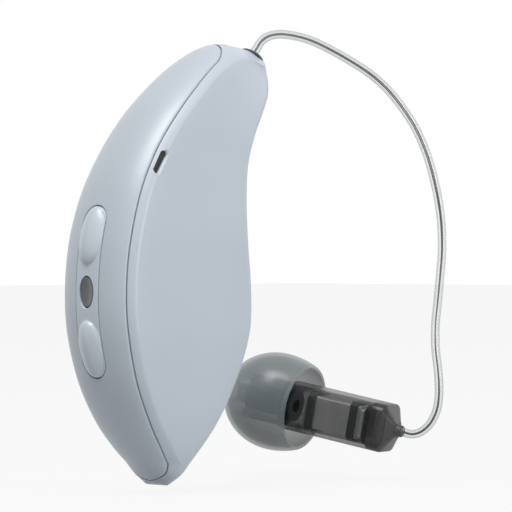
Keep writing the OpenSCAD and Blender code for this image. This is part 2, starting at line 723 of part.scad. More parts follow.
// Route of the lead, from the plug's collar to the receiver
lead_route = [
    [3.84, 0, 11.09], [4.4, 0, 11.8], [5, 0, 12.45], [5.9, -0.1, 12.9], [7.4, -0.2, 13.05],
    [9.6, -0.5, 12.75], [11.6, -0.8, 12.1], [13.8, -1.2, 11.15], [15.6, -1.6, 10.2],
    [17, -1.9, 9.25], [18.1, -2.2, 8.2], [19.1, -2.6, 6.9], [19.9, -3, 5.5], [20.6, -3.4, 3.7],
    [21, -3.8, 1.8], [21.2, -4.2, -0.2], [21.15, -4.6, -2.2], [20.85, -4.95, -4.4],
    [20.3, -5.25, -6.5], [19.7, -5.55, -8.5], [19.15, -5.8, -10.5], [18.95, -6, -12.4],
    [19.05, -6.2, -14.3], [19.1, -6.25, -16], [19.05, -6.05, -17.4], [18.9, -5.5, -18.5],
    [18.66, -4.75, -19.2], [18.39, -3.92, -19.47], [18.14, -3.07, -19.3]
];
route_end = len(lead_route) - 1;
lead_steps = 56;
function route_at(t) = [for (k = [0:2]) smooth([for (p = lead_route) p[k]], t)];
lead_line = [for (k = [0:lead_steps]) route_at(route_end * k / lead_steps)];
lead_along = [for (k = [0:lead_steps])
    k == 0 ? unit(lead_route[1] - lead_route[0])
        : k == lead_steps ? unit(lead_route[route_end] - lead_route[route_end - 1])
        : unit(lead_line[k + 1] - lead_line[k - 1])];
lead_sides = [for (k = 0, side = [0, 1, 0]; k <= lead_steps;
    k = k + 1, side = k > lead_steps ? side : unit(side - lead_along[k] * (side * lead_along[k]))) side];
// Rings of one strand, off the middle of the lead
function strand(r, sides, off) = [for (k = [0:lead_steps])
    let(side = lead_sides[k], up = cross(lead_along[k], side))
    [for (j = [0:sides - 1]) let(a = -360 * j / sides)
        lead_line[k] + side * (off + r * cos(a)) + up * (r * sin(a))]];
// A hollow tube over two lists of rings
module hollow(outer, inner) {
    n = len(outer[0]);
    m = len(outer);
    far = n * m;
    last = (m - 1) * n;
    polyhedron(
        points = concat(flat_list(outer), flat_list(inner)),
        faces = concat(
            [for (r = [0:m - 2]) for (k = [0:n - 1]) for (f = quad(r * n + (k + 1) % n, r * n + k, n)) f],
            [for (r = [0:m - 2]) for (k = [0:n - 1])
                for (f = quad(far + r * n + k, far + r * n + (k + 1) % n, n)) f],
            [for (k = [0:n - 1]) for (f = [[k, far + k, (k + 1) % n],
                [(k + 1) % n, far + k, far + (k + 1) % n]]) f],
            [for (k = [0:n - 1]) for (f = [[last + k, last + (k + 1) % n, far + last + k],
                [last + (k + 1) % n, far + last + (k + 1) % n, far + last + k]]) f]));
}
function quad(a, b, n) = [[a, a + n, b], [a + n, b + n, b]];
module lead_tube() {
    color("#d9dde0") hollow(strand(lead_d / 2, 8, 0), strand(lead_bore / 2, 8, 0));
}
module lead_wires() {
    color("#8d9196") for (side = [-1, 1]) skin(strand(wire_d / 2, 6, side * wire_pitch / 2));
}

// Receiver, along its own axis: +X towards the ear drum, from the end cap's face
relief_l = 0.5;
relief_t = 0.1;
receiver_along = unit(lead_route[route_end] - lead_route[route_end - 1]);
module at_receiver() {
    translate(lead_route[route_end] + receiver_along * relief_l)
        rotate([0, -asin(receiver_along[2]), atan2(receiver_along[1], receiver_along[0])]) children();
}
// Box along X with round corners
module rounded(w, h, r, lo_x, hi_x) {
    translate([lo_x, 0, 0]) rotate([0, 90, 0]) linear_extrude(hi_x - lo_x) {
        square([h - 2 * r, w], center = true);
        square([h, w - 2 * r], center = true);
        for (a = [-1, 1]) for (b = [-1, 1]) translate([a * (h / 2 - r), b * (w / 2 - r)]) circle(r = r);
    }
}
module disc_x(d, lo_x, hi_x) {
    translate([lo_x, 0, 0]) rotate([0, 90, 0]) cylinder(d = d, h = hi_x - lo_x);
}
shell_front_t = 0.45;
cap_taper = 0.9;
cap_tip = 1.3;
cap_plug_l = 0.5;
can_lo = 3.1;
can_end = 2.1; // from the can's front to the shell's end
can_hi = receiver_l - can_end;
can_w = 2.2;
can_h = 2.8;
can_round = 0.25;
cavity_w = receiver_w - 2 * receiver_wall;
cavity_h = receiver_h - 2 * receiver_wall;
cavity_round = receiver_round - receiver_wall;
module strain_relief() {
    color("#3a3b3d") at_receiver() translate([-relief_l, 0, 0]) rotate([0, 90, 0])
        cylinder(d1 = lead_d + 2 * relief_t, d2 = cap_tip - relief_t, h = relief_l);
}
module receiver_end_cap() {
    color("#454545") at_receiver() {
        hull() {
            rounded(cap_tip, cap_tip, cap_tip / 4, 0, play);
            rounded(receiver_w, receiver_h, receiver_round, cap_taper, cap_taper + play);
        }
        rounded(receiver_w, receiver_h, receiver_round, cap_taper, cap_l);
        rounded(cavity_w - 2 * play, cavity_h - 2 * play, cavity_round - play, cap_l - play, cap_l + cap_plug_l);
    }
}
module receiver_shell() {
    color("#5a5a5c") at_receiver() difference() {
        rounded(receiver_w, receiver_h, receiver_round, cap_l, receiver_l);
        rounded(cavity_w, cavity_h, cavity_round, cap_l - over, receiver_l - shell_front_t);
        disc_x(spout_d + 2 * fit, 0, receiver_l + over);
    }
}
module receiver_can() {
    color("#8a8a8c") at_receiver() rounded(can_w, can_h, can_round, can_lo, can_hi);
}
terminal_in = 0.2;
terminal_t = 0.35;
terminal_d = 0.7;
joint_t = 0.15;
module receiver_terminals() {
    color("#b79a55") at_receiver() {
        rounded(can_w, can_h - 2 * terminal_in, can_round, can_lo - terminal_t, can_lo);
        for (side = [-1, 1]) translate([0, 0, side * terminal_d])
            disc_x(terminal_d, can_lo - terminal_t - joint_t, can_lo - terminal_t + play);
    }
}
boot_l = 0.6;
boot_in = 0.3;
boot_places = [can_lo + boot_in, can_hi - boot_in - boot_l];
module receiver_boots() {
    color("#2c2c2e") at_receiver() for (x = boot_places) difference() {
        rounded(cavity_w - 2 * fit, cavity_h - 2 * fit, cavity_round - fit, x, x + boot_l);
        rounded(can_w + 2 * fit, can_h + 2 * fit, can_round + fit, x - over, x + boot_l + over);
    }
}
spout_end = receiver_l + spout_l;
spout_lip = 0.2;
guard_d = 1.3;
guard_l = 1;
guard_wall = 0.25;
guard_hole_r = 0.26; // from the middle to each hole
guard_hole_d = 0.16;
flange_d = 1.5;
flange_t = 0.12;
module sound_spout() {
    color("#3c4548") at_receiver() difference() {
        union() {
            disc_x(spout_d, receiver_l - shell_front_t - spout_lip, spout_end);
            disc_x(spout_d + 2 * spout_lip, receiver_l - shell_front_t - play - spout_lip,
                receiver_l - shell_front_t - play);
        }
        disc_x(sound_bore, 0, spout_end + over);
        disc_x(guard_d + 2 * fit, spout_end - guard_l - play, spout_end + over);
    }
}
module wax_guard() {
    color("#e4e6e6") at_receiver() difference() {
        union() {
            disc_x(guard_d, spout_end - guard_l, spout_end + flange_t / 2);
            disc_x(flange_d, spout_end + play / 2, spout_end + flange_t);
        }
        disc_x(guard_d - 2 * guard_wall, spout_end - guard_l - over, spout_end - flange_t);
        for (k = [0:6])
            rotate([k * 60, 0, 0]) translate([0, k < 6 ? guard_hole_r : 0, 0])
                disc_x(guard_hole_d, 0, spout_end + over);
    }
}

// Ear dome, turned round the receiver's axis
dome_r = dome_d / 2;
skirt_share = 0.37;
skirt_l = skirt_share * dome_l;
rim_back = 1.55; // from the shell's end back to the dome's rim
crest_x = receiver_l - rim_back + skirt_l; // the dome's widest place
nose_l = dome_l - skirt_l;
// Radius of the dome's skirt, the distance s behind its widest place
function skirt_r(s, r) = r * sqrt(1 - pow(s / skirt_l, 2) * (1 - pow(rim_d / dome_d, 2)));
module ear_dome() {
    inner_r = dome_r - dome_wall;
    inner_l = nose_l - dome_wall;
    hub_a = asin(hub_d / 2 / inner_r);
    tip_a = asin((nose_bore / 2 + nose_flat) / dome_r);
    color("#6e7878") at_receiver() rotate([0, 90, 0]) rotate_extrude() polygon(concat(
        [for (s = [skirt_l:-skirt_l / 5:0.01]) [skirt_r(s, dome_r), crest_x - s]],
        [for (k = [0:10]) let(a = 90 + (tip_a - 90) * k / 10) [dome_r * sin(a), crest_x + nose_l * cos(a)]],
        [[nose_bore / 2, crest_x + nose_l * cos(tip_a)],
            [nose_bore / 2, spout_end + 2 * play], [spout_d / 2 + fit, spout_end + 2 * play],
            [spout_d / 2 + fit, receiver_l + 2 * play], [hub_d / 2, receiver_l + 2 * play]],
        [for (k = [0:8]) let(a = hub_a + (90 - hub_a) * k / 8) [inner_r * sin(a), crest_x + inner_l * cos(a)]],
        [for (s = [skirt_l / 5:skirt_l / 5:skirt_l + 0.01]) [skirt_r(s, inner_r), crest_x - s]]));
}
nose_flat = 0.35;

housing();
spine_cover();
control_rocker();
rocker_pins();
light_window();
front_mic_screen();
rear_mic_screen();
inner_frame();
circuit_board();
signal_chips();
small_components();
front_microphone();
rear_microphone();
front_mic_seal();
rear_mic_seal();
switch_flex();
tactile_switches();
status_led();
battery_cell();
battery_tabs();
ferrite_disc();
charging_coil();
antenna();
telecoil();
lead_socket();
socket_contacts();
lead_plug();
plug_contacts();
lead_tube();
lead_wires();
strain_relief();
receiver_end_cap();
receiver_shell();
receiver_can();
receiver_terminals();
receiver_boots();
sound_spout();
wax_guard();
ear_dome();
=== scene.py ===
import bmesh
import bpy
import math
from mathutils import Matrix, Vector


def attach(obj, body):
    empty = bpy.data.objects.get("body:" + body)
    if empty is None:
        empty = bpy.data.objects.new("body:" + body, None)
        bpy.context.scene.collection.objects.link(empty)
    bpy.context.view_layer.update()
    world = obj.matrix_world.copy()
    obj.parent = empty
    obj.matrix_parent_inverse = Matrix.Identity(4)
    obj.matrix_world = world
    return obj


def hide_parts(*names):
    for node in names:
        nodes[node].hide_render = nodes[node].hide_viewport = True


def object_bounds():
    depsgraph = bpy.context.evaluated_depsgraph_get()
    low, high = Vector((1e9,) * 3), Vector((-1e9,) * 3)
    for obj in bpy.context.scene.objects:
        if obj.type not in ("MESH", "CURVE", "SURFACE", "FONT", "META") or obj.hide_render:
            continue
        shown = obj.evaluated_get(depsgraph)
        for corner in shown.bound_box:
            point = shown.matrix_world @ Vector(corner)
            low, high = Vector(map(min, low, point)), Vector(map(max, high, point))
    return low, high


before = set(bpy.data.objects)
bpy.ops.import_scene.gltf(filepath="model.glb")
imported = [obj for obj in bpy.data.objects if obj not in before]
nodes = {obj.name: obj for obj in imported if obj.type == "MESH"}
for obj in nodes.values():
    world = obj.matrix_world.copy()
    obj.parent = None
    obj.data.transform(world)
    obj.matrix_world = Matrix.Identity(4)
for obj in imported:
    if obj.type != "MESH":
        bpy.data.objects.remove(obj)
cadBox = [list(corner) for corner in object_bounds()]
mm = 0.001
print("frame loaded")

# Camera at the photograph's angle
view = {
    "azimuth": -44,
    "distance": 282,        # mm
    "lens": 250,
    "sensor": 36,
    "lookAt": (2.236, -2.161, -4.84),
}
cameraData = bpy.data.cameras.new("camera")
cameraData.lens = view["lens"]
cameraData.sensor_width = view["sensor"]
cameraData.clip_start = 0.01
camera = bpy.data.objects.new("camera", cameraData)
bpy.context.scene.collection.objects.link(camera)
turn = math.radians(view["azimuth"])
back = Vector((math.sin(turn), -math.cos(turn), 0)) * view["distance"]
camera.location = (Vector(view["lookAt"]) + back) * mm
camera.rotation_euler = (math.pi / 2, 0, turn)
bpy.context.scene.camera = camera

roughDrift = 0.12        # how far the grain moves the roughness
bumpHeight = 0.02 * mm


def makeFinish(name, look):
    # Fine grain and slow colour drift come from noise; what is even sits on the shader itself
    material = bpy.data.materials.new(name)
    material.use_nodes = True
    tree = material.node_tree
    shader = tree.nodes["Principled BSDF"]
    place = tree.nodes.new("ShaderNodeTexCoord")
    drift = tree.nodes.new("ShaderNodeTexNoise")
    drift.inputs["Scale"].default_value = look.get("driftScale", 160)
    drift.inputs["Detail"].default_value = 3
    tree.links.new(place.outputs["Object"], drift.inputs["Vector"])
    ramp = tree.nodes.new("ShaderNodeValToRGB")
    ramp.color_ramp.elements[0].position = 0.3
    ramp.color_ramp.elements[1].position = 0.7
    spread = look.get("drift", 0.04)
    base = look["color"]
    ramp.color_ramp.elements[0].color = [c * (1 - spread) for c in base] + [1]
    ramp.color_ramp.elements[1].color = [min(1, c * (1 + spread)) for c in base] + [1]
    tree.links.new(drift.outputs["Fac"], ramp.inputs["Fac"])
    tree.links.new(ramp.outputs["Color"], shader.inputs["Base Color"])
    grain = tree.nodes.new("ShaderNodeTexNoise")
    grain.inputs["Scale"].default_value = look.get("grainScale", 9000)
    grain.inputs["Detail"].default_value = 4
    tree.links.new(place.outputs["Object"], grain.inputs["Vector"])
    rough = tree.nodes.new("ShaderNodeMapRange")
    middle = look["roughness"]
    rough.inputs["To Min"].default_value = middle * (1 - roughDrift)
    rough.inputs["To Max"].default_value = min(1, middle * (1 + roughDrift))
    tree.links.new(grain.outputs["Fac"], rough.inputs["Value"])
    tree.links.new(rough.outputs["Result"], shader.inputs["Roughness"])
    bump = tree.nodes.new("ShaderNodeBump")
    bump.inputs["Strength"].default_value = look.get("bump", 0.02)
    bump.inputs["Distance"].default_value = bumpHeight
    tree.links.new(grain.outputs["Fac"], bump.inputs["Height"])
    tree.links.new(bump.outputs["Normal"], shader.inputs["Normal"])
    for key in ("Metallic", "Coat Weight", "Coat Roughness", "Specular IOR Level", "Alpha"):
        if key in look:
            shader.inputs[key].default_value = look[key]
    if "rimAlpha" in look:        # a clear skin is thicker to look through at its edges
        facing = tree.nodes.new("ShaderNodeLayerWeight")
        facing.inputs["Blend"].default_value = look.get("rimBlend", 0.35)
        skinRange = tree.nodes.new("ShaderNodeMapRange")
        skinRange.inputs["To Min"].default_value = look["Alpha"]
        skinRange.inputs["To Max"].default_value = look["rimAlpha"]
        tree.links.new(facing.outputs["Facing"], skinRange.inputs["Value"])
        tree.links.new(skinRange.outputs["Result"], shader.inputs["Alpha"])
    return material


def tone(r, g, b):        # a colour read as 0 to 255 on screen
    return [(c / 255 / 12.92 if c <= 10 else ((c / 255 + 0.055) / 1.055) ** 2.4) for c in (r, g, b)]


looks = {
    "shell": {"color": tone(190, 198, 208), "roughness": 0.42, "drift": 0.015, "bump": 0.05,
              "Coat Weight": 0.15, "Coat Roughness": 0.3},
    "spine": {"color": tone(188, 196, 205), "roughness": 0.38, "drift": 0.015, "bump": 0.05,
              "Coat Weight": 0.2, "Coat Roughness": 0.28},
    "rocker": {"color": tone(196, 204, 213), "roughness": 0.34, "drift": 0.012, "bump": 0.04,
               "Coat Weight": 0.25, "Coat Roughness": 0.25},
    "window": {"color": tone(84, 89, 93), "roughness": 0.3, "drift": 0.12, "driftScale": 900,
               "Coat Weight": 0.5, "Coat Roughness": 0.1},
    "screen": {"color": tone(32, 33, 35), "roughness": 0.7, "drift": 0.2, "grainScale": 16000, "bump": 0.3},
    "frame": {"color": tone(74, 77, 82), "roughness": 0.55},
    "board": {"color": tone(31, 84, 58), "roughness": 0.4, "drift": 0.12, "driftScale": 900},
    "chips": {"color": tone(36, 37, 40), "roughness": 0.5},
    "components": {"color": tone(165, 143, 106), "roughness": 0.5, "drift": 0.15},
    "microphone": {"color": tone(196, 170, 100), "roughness": 0.3, "Metallic": 1},
    "seal": {"color": tone(50, 52, 55), "roughness": 0.7},
    "flex": {"color": tone(170, 105, 42), "roughness": 0.4, "drift": 0.1},
    "led": {"color": tone(225, 222, 205), "roughness": 0.3},
    "steel": {"color": tone(178, 182, 186), "roughness": 0.3, "Metallic": 1, "drift": 0.08},
    "cell": {"color": tone(178, 182, 186), "roughness": 0.28, "Metallic": 1, "drift": 0.08},
    "ferrite": {"color": tone(58, 54, 51), "roughness": 0.6},
    "copper": {"color": tone(190, 110, 62), "roughness": 0.35, "Metallic": 1, "drift": 0.1},
    "gold": {"color": tone(214, 178, 80), "roughness": 0.22, "Metallic": 1, "drift": 0.08},
    "socket": {"color": tone(44, 47, 51), "roughness": 0.5},
    "plug": {"color": tone(82, 86, 90), "roughness": 0.4, "drift": 0.05},
    "wires": {"color": tone(92, 95, 98), "roughness": 0.3, "Metallic": 0.6, "drift": 0.1,
              "driftScale": 2500},
    "tube": {"color": tone(176, 180, 183), "roughness": 0.12, "drift": 0.04, "bump": 0.01,
             "Coat Weight": 0.4, "Coat Roughness": 0.05, "Alpha": 0.12, "rimAlpha": 0.95,
             "rimBlend": 0.3},
    "relief": {"color": tone(58, 60, 62), "roughness": 0.45},
    "end_cap": {"color": tone(46, 46, 47), "roughness": 0.25, "drift": 0.06,
                "Specular IOR Level": 0.35, "Alpha": 0.8, "rimAlpha": 0.98},
    "receiver_shell": {"color": tone(38, 41, 41), "roughness": 0.28, "drift": 0.06,
                       "Specular IOR Level": 0.4, "Alpha": 0.25, "rimAlpha": 0.93},
    "can": {"color": tone(222, 221, 220), "roughness": 0.45, "Metallic": 0.55, "drift": 0.08,
            "driftScale": 700},
    "spout": {"color": tone(58, 68, 72), "roughness": 0.35},
    "guard": {"color": tone(226, 228, 228), "roughness": 0.4},
    "dome": {"color": tone(138, 147, 149), "roughness": 0.3, "drift": 0.05, "driftScale": 300,
             "bump": 0.03, "Coat Weight": 0.25, "Coat Roughness": 0.15, "Alpha": 0.42,
             "rimAlpha": 0.82, "rimBlend": 0.4},
}
finishes = {name: makeFinish(name, look) for name, look in looks.items()}
nodeFinish = {
    "housing": "shell", "spine_cover": "spine", "control_rocker": "rocker", "rocker_pins": "steel",
    "light_window": "window", "front_mic_screen": "screen", "rear_mic_screen": "screen",
    "inner_frame": "frame", "circuit_board": "board", "signal_chips": "chips",
    "small_components": "components", "front_microphone": "microphone", "rear_microphone": "microphone",
    "front_mic_seal": "seal", "rear_mic_seal": "seal", "switch_flex": "flex",
    "tactile_switches": "steel", "status_led": "led", "battery_cell": "cell",
    "battery_tabs": "steel", "ferrite_disc": "ferrite", "charging_coil": "copper",
    "antenna": "copper", "telecoil": "copper", "lead_socket": "socket", "socket_contacts": "gold",
    "lead_plug": "plug", "plug_contacts": "gold", "lead_tube": "tube", "lead_wires": "wires",
    "strain_relief": "relief", "receiver_end_cap": "end_cap", "receiver_shell": "receiver_shell",
    "receiver_can": "can", "receiver_terminals": "can", "receiver_boots": "plug",
    "sound_spout": "spout", "wax_guard": "guard", "ear_dome": "dome",
}
for name, finish in nodeFinish.items():
    node = nodes[name]
    if not node.data.materials:
        node.data.materials.append(None)
    for slot in node.material_slots:
        slot.material = finishes[finish]
print("finishes made")


# Common tools for the pieces
def addPiece(name, points, faces, finish, body, replaced=(), sharp=30):
    mesh = bpy.data.meshes.new(name)
    mesh.from_pydata([Vector(p) * mm for p in points], [], faces)
    mesh.validate()
    form = bmesh.new()
    form.from_mesh(mesh)
    bmesh.ops.recalc_face_normals(form, faces=form.faces)
    form.to_mesh(mesh)
    form.free()
    piece = bpy.data.objects.new(name, mesh)
    bpy.context.scene.collection.objects.link(piece)
    mesh.materials.append(finishes[finish])
    smoothShade(piece, sharp)
    if body:
        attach(piece, body)
        if replaced:
            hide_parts(*replaced)
    return piece


def smoothShade(piece, sharp=30):
    mesh = piece.data
    mesh.polygons.foreach_set("use_smooth", [True] * len(mesh.polygons))
    mesh.set_sharp_from_angle(angle=math.radians(sharp))


def weld(points, faces, reach=0.0004):
    # Joins points that lie together and drops faces that closed up
    seen, order, kept = {}, [], []
    for p in points:
        key = tuple(round(c / reach) for c in p)
        if key not in seen:
            seen[key] = len(kept)
            kept.append(p)
        order.append(seen[key])
    joined = []
    for face in faces:
        ring = []
        for v in (order[k] for k in face):
            if not ring or v != ring[-1]:
                ring.append(v)
        if len(ring) > 1 and ring[0] == ring[-1]:
            ring.pop()
        if len(ring) > 2 and len(set(ring)) == len(ring):
            joined.append(ring)
    return kept, joined


def mirrored(columns, skip, capLow=False, capHigh=False, loop=False):
    # Columns of (x, y, z) rows with y >= 0 become both halves of a piece; skip(c, r) leaves a face out
    points, faces = [], []
    for side in (1, -1):
        base = len(points)
        rows = len(columns[0])
        for column in columns:
            points += [(p[0], side * p[1], p[2]) for p in column]
        for c in range(len(columns) - 1):
            for r in range(rows if loop else rows - 1):
                if skip(c, r):
                    continue
                a = base + c * rows + r
                b = base + c * rows + (r + 1) % rows
                quad = [a, b, b + rows, a + rows]
                faces.append(quad if side > 0 else quad[::-1])
    rows = len(columns[0])
    half = len(columns) * rows
    if capLow:
        ring = list(range(rows)) + [half + k for k in range(rows - 1, -1, -1)]
        faces.append(ring[::-1])
    if capHigh:
        last = (len(columns) - 1) * rows
        ring = [last + k for k in range(rows)] + [half + last + k for k in range(rows - 1, -1, -1)]
        faces.append(ring)
    return weld(points, faces)


def cut(piece, cutters, kind="DIFFERENCE"):
    for cutter in cutters:
        modifier = piece.modifiers.new("cut", "BOOLEAN")
        modifier.object = cutter
        modifier.operation = kind
        modifier.solver = "EXACT"
        graph = bpy.context.evaluated_depsgraph_get()
        mesh = bpy.data.meshes.new_from_object(piece.evaluated_get(graph))
        piece.modifiers.clear()
        old = piece.data
        piece.data = mesh
        mesh.name = old.name
        bpy.data.meshes.remove(old)
        bpy.data.objects.remove(cutter)
    smoothShade(piece)


def loft(rings, closedEnds=True):
    n = len(rings[0])
    points = [p for ring in rings for p in ring]
    faces = [[r * n + k, r * n + (k + 1) % n, (r + 1) * n + (k + 1) % n, (r + 1) * n + k]
             for r in range(len(rings) - 1) for k in range(n)]
    if closedEnds:
        faces.append(list(range(n))[::-1])
        faces.append([(len(rings) - 1) * n + k for k in range(n)])
    return points, faces


def curvePiece(name, line, radius, finish, body):
    data = bpy.data.curves.new(name, "CURVE")
    data.dimensions = "3D"
    data.bevel_depth = radius * mm
    data.bevel_resolution = 6
    data.use_fill_caps = True
    spline = data.splines.new("POLY")
    spline.points.add(len(line) - 1)
    for point, place in zip(spline.points, line):
        point.co = (*(Vector(place) * mm), 1)
    data.materials.append(finishes[finish])
    piece = bpy.data.objects.new(name, data)
    bpy.context.scene.collection.objects.link(piece)
    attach(piece, body)
    return piece


def smooth(points, t):
    i = min(max(int(math.floor(t)), 0), len(points) - 2)
    f = t - i
    a, b, c = points[max(i - 1, 0)], points[i], points[i + 1]
    d = points[min(i + 2, len(points) - 1)]
    return b + f * ((c - a) + f * ((2 * a - 5 * b + 4 * c - d) + f * (3 * (b - c) + d - a))) / 2


# The lead: its route from the plug's collar to the receiver, in metres
lead = {
    "diameter": 0.72,        # mm
    "wireDiameter": 0.11,
    "wirePitch": 0.13,
    "wireTwist": 5,        # radians over the whole lead
    "stepsPerSpan": 8,
}
leadRoute = [
    (0.00384, 0, 0.01109), (0.0044, 0, 0.0118), (0.005, 0, 0.01245), (0.0059, -0.0001, 0.0129),
    (0.0074, -0.0002, 0.01305), (0.0096, -0.0005, 0.01275), (0.0116, -0.0008, 0.0121),
    (0.0138, -0.0012, 0.01115), (0.0156, -0.0016, 0.0102), (0.017, -0.0019, 0.00925),
    (0.0181, -0.0022, 0.0082), (0.0191, -0.0026, 0.0069), (0.0199, -0.003, 0.0055),
    (0.0206, -0.0034, 0.0037), (0.021, -0.0038, 0.0018), (0.0212, -0.0042, -0.0002),
    (0.02115, -0.0046, -0.0022), (0.02085, -0.00495, -0.0044), (0.0203, -0.00525, -0.0065),
    (0.0197, -0.00555, -0.0085), (0.01915, -0.0058, -0.0105), (0.01895, -0.006, -0.0124),
    (0.01905, -0.0062, -0.0143), (0.0191, -0.00625, -0.016), (0.01905, -0.00605, -0.0174),
    (0.0189, -0.0055, -0.0185), (0.01866, -0.00475, -0.0192), (0.01839, -0.00392, -0.01947),
    (0.01814, -0.00307, -0.0193),
]
routePoints = [Vector(p) / mm for p in leadRoute]


def routeAt(t):
    return Vector([smooth([p[k] for p in routePoints], t) for k in range(3)])


spans = len(routePoints) - 1
leadSteps = spans * lead["stepsPerSpan"]
leadLine = [routeAt(spans * k / leadSteps) for k in range(leadSteps + 1)]
tube = curvePiece("leadTube", leadLine, lead["diameter"] / 2, "tube", "lead")
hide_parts("lead_tube")


def besideLead(offset, twist):
    side = Vector((0, 1, 0))
    line = []
    for k, p in enumerate(leadLine):
        ahead = (leadLine[min(k + 1, len(leadLine) - 1)] - leadLine[max(k - 1, 0)]).normalized()
        side = (side - ahead * side.dot(ahead)).normalized()
        up = ahead.cross(side)
        a = twist * k / len(leadLine)
        line.append(p + (side * math.cos(a) + up * math.sin(a)) * offset)
    return line


wires = [curvePiece("leadWire" + word, besideLead(s * lead["wirePitch"] / 2, lead["wireTwist"]),
                    lead["wireDiameter"] / 2, "wires", "lead") for word, s in (("A", 1), ("B", -1))]
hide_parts("lead_wires")

# The casing's form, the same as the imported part's
casing = {
    "height": 35, "depth": 14.5, "thickness": 8.2, "wall": 0.75, "crownDepth": 1.35,
    "edgeRound": 0.35, "frontRound": 0.85, "seamGap": 0.12, "rimWidth": 0.52,
    "ledgeDepth": 0.35, "play": 0.05, "seamFillet": 0.07, "slotFillet": 0.07,
}
# Shares of the depth, the height and the half thickness, one for each station t
spineX = [-0.48, -0.546, -0.642, -0.757, -0.866, -0.937, -0.952, -0.922, -0.837, -0.712,
          -0.553, -0.37, -0.193, -0.02, 0.2]
spineZ = [-0.643, -0.617, -0.574, -0.509, -0.42, -0.31, -0.21, -0.1, 0.01, 0.103,
          0.186, 0.257, 0.311, 0.341, 0.333]
frontX = [-0.435, -0.386, -0.32, -0.203, -0.083, 0.012, 0.022, 0, 0, 0.024,
          0.09, 0.18, 0.258, 0.303, 0.317]
frontZ = [-0.649, -0.621, -0.579, -0.511, -0.42, -0.31, -0.21, -0.106, -0.017, 0.066,
          0.131, 0.183, 0.223, 0.26, 0.294]
spineHalf = [0.29, 0.61, 0.79, 0.905, 0.965, 1, 1, 1, 0.965, 0.925, 0.9, 0.83, 0.72, 0.56, 0.26]
frontHalf = [0.29, 0.61, 0.79, 0.905, 0.965, 1, 1, 1, 0.96, 0.915, 0.855, 0.755, 0.62, 0.45, 0.26]
crownSoft = [1.8, 1.35, 1.1, 1, 1, 1, 1, 1, 1, 1, 1, 1, 1.1, 1.4, 2.6]
edgeSoft = [1.6, 1.4, 1.2, 1, 1, 1, 1, 1, 1, 1, 1, 1.1, 1.5, 2, 2]
frontSoft = [0.9, 1.2, 1.2, 1.1, 1, 1, 1, 1, 1, 1, 1, 1.1, 1.2, 1.2, 1.1]
topT = len(spineX) - 1
leastSlant = 0.45
roundMost = 0.92
crownArc = math.radians(65)
bowShare = 0.4
halfThickness = casing["thickness"] / 2


def spineAt(t):
    return Vector((smooth(spineX, t) * casing["depth"], smooth(spineZ, t) * casing["height"]))


def frontAt(t):
    return Vector((smooth(frontX, t) * casing["depth"], smooth(frontZ, t) * casing["height"]))


def slant(at, t, inward):
    along = (at(t + 0.1) - at(t - 0.1)).normalized()
    return max(leastSlant, abs(along.x * inward.y - along.y * inward.x))


sectionCache = {}


def sectionAt(t, inset=0):
    # The measures of one section, drawn in from the outside by the inset
    key = (round(t, 6), inset)
    if key in sectionCache:
        return sectionCache[key]
    spine, front = spineAt(t), frontAt(t)
    span = (front - spine).length
    inward = (front - spine) / span
    spineSlant, frontSlant = slant(spineAt, t, inward), slant(frontAt, t, inward)
    halfOut = min(1, smooth(spineHalf, t)) * halfThickness
    frontOut = min(1, smooth(frontHalf, t)) * halfThickness
    crown = casing["crownDepth"] * smooth(crownSoft, t) * halfOut / halfThickness / spineSlant
    edge = casing["edgeRound"] * smooth(edgeSoft, t)
    soft = casing["frontRound"] * smooth(frontSoft, t)
    squeeze = min(1, roundMost * span / (crown + edge + soft))
    crown, edge, soft = crown * squeeze, edge * squeeze, soft * squeeze
    half, frontIn = halfOut - inset, frontOut - inset
    section = {
        "spine": spine, "inward": inward, "half": half, "halfOut": halfOut, "frontHalf": frontIn,
        "start": inset / spineSlant, "end": span - inset / frontSlant,
        "crownOut": crown,
        "crown": crown * half / halfOut, "edge": edge * half / halfOut,
        "soft": soft * frontIn / frontOut,
    }
    section["bow"] = bowShare * section["edge"]
    sectionCache[key] = section
    return section


def spot(t, depth, y):
    section = sectionAt(t)
    p = section["spine"] + section["inward"] * depth
    return (p.x, y, p.y)


def crownAngle(section, y):
    return math.asin(min(1, y / (section["half"] - section["bow"]) * math.sin(crownArc)))


def crownSpot(section, a):
    depth = section["start"] + section["crown"] * (1 - math.cos(a)) / (1 - math.cos(crownArc))
    return depth, (section["half"] - section["bow"]) * math.sin(a) / math.sin(crownArc)


def dropAt(t, y):
    section = sectionAt(t)
    return crownSpot(section, crownAngle(section, y))[0]


def outside(t, a0, crownRows=7, edgeRows=4, sideRows=5, softRows=6):
    # Rows from a place on the crown round to the middle of the front
    section = sectionAt(t)
    rows = [crownSpot(section, a0 + (crownArc - a0) * k / crownRows) for k in range(crownRows + 1)]
    d0, y0 = rows[-1]
    rise = section["bow"]
    steep = (section["half"] - section["bow"]) * math.cos(crownArc) / math.sin(crownArc)
    run = rise * section["crown"] * math.sin(crownArc) / (1 - math.cos(crownArc)) / steep
    bend = (d0 + min(run, section["edge"] * 0.8), section["half"])
    last = (section["start"] + section["crown"] + section["edge"], section["half"])
    for k in range(1, edgeRows + 1):
        f = k / edgeRows
        rows.append(tuple((1 - f) ** 2 * p + 2 * f * (1 - f) * q + f * f * r
                          for p, q, r in zip((d0, y0), bend, last)))
    near = (section["end"] - section["soft"], section["frontHalf"])
    for k in range(1, sideRows + 1):
        f = k / sideRows
        rows.append((last[0] + (near[0] - last[0]) * f, last[1] + (near[1] - last[1]) * f))
    for k in range(1, softRows + 1):
        a = math.pi / 2 * k / softRows
        rows.append((near[0] + section["soft"] * math.sin(a),
                     near[1] - section["soft"] + section["soft"] * math.cos(a)))
    low = rows[-1]
    rows += [(low[0], low[1] * f) for f in (0.6, 0.3, 0)]
    return [spot(t, d, y) for d, y in rows]


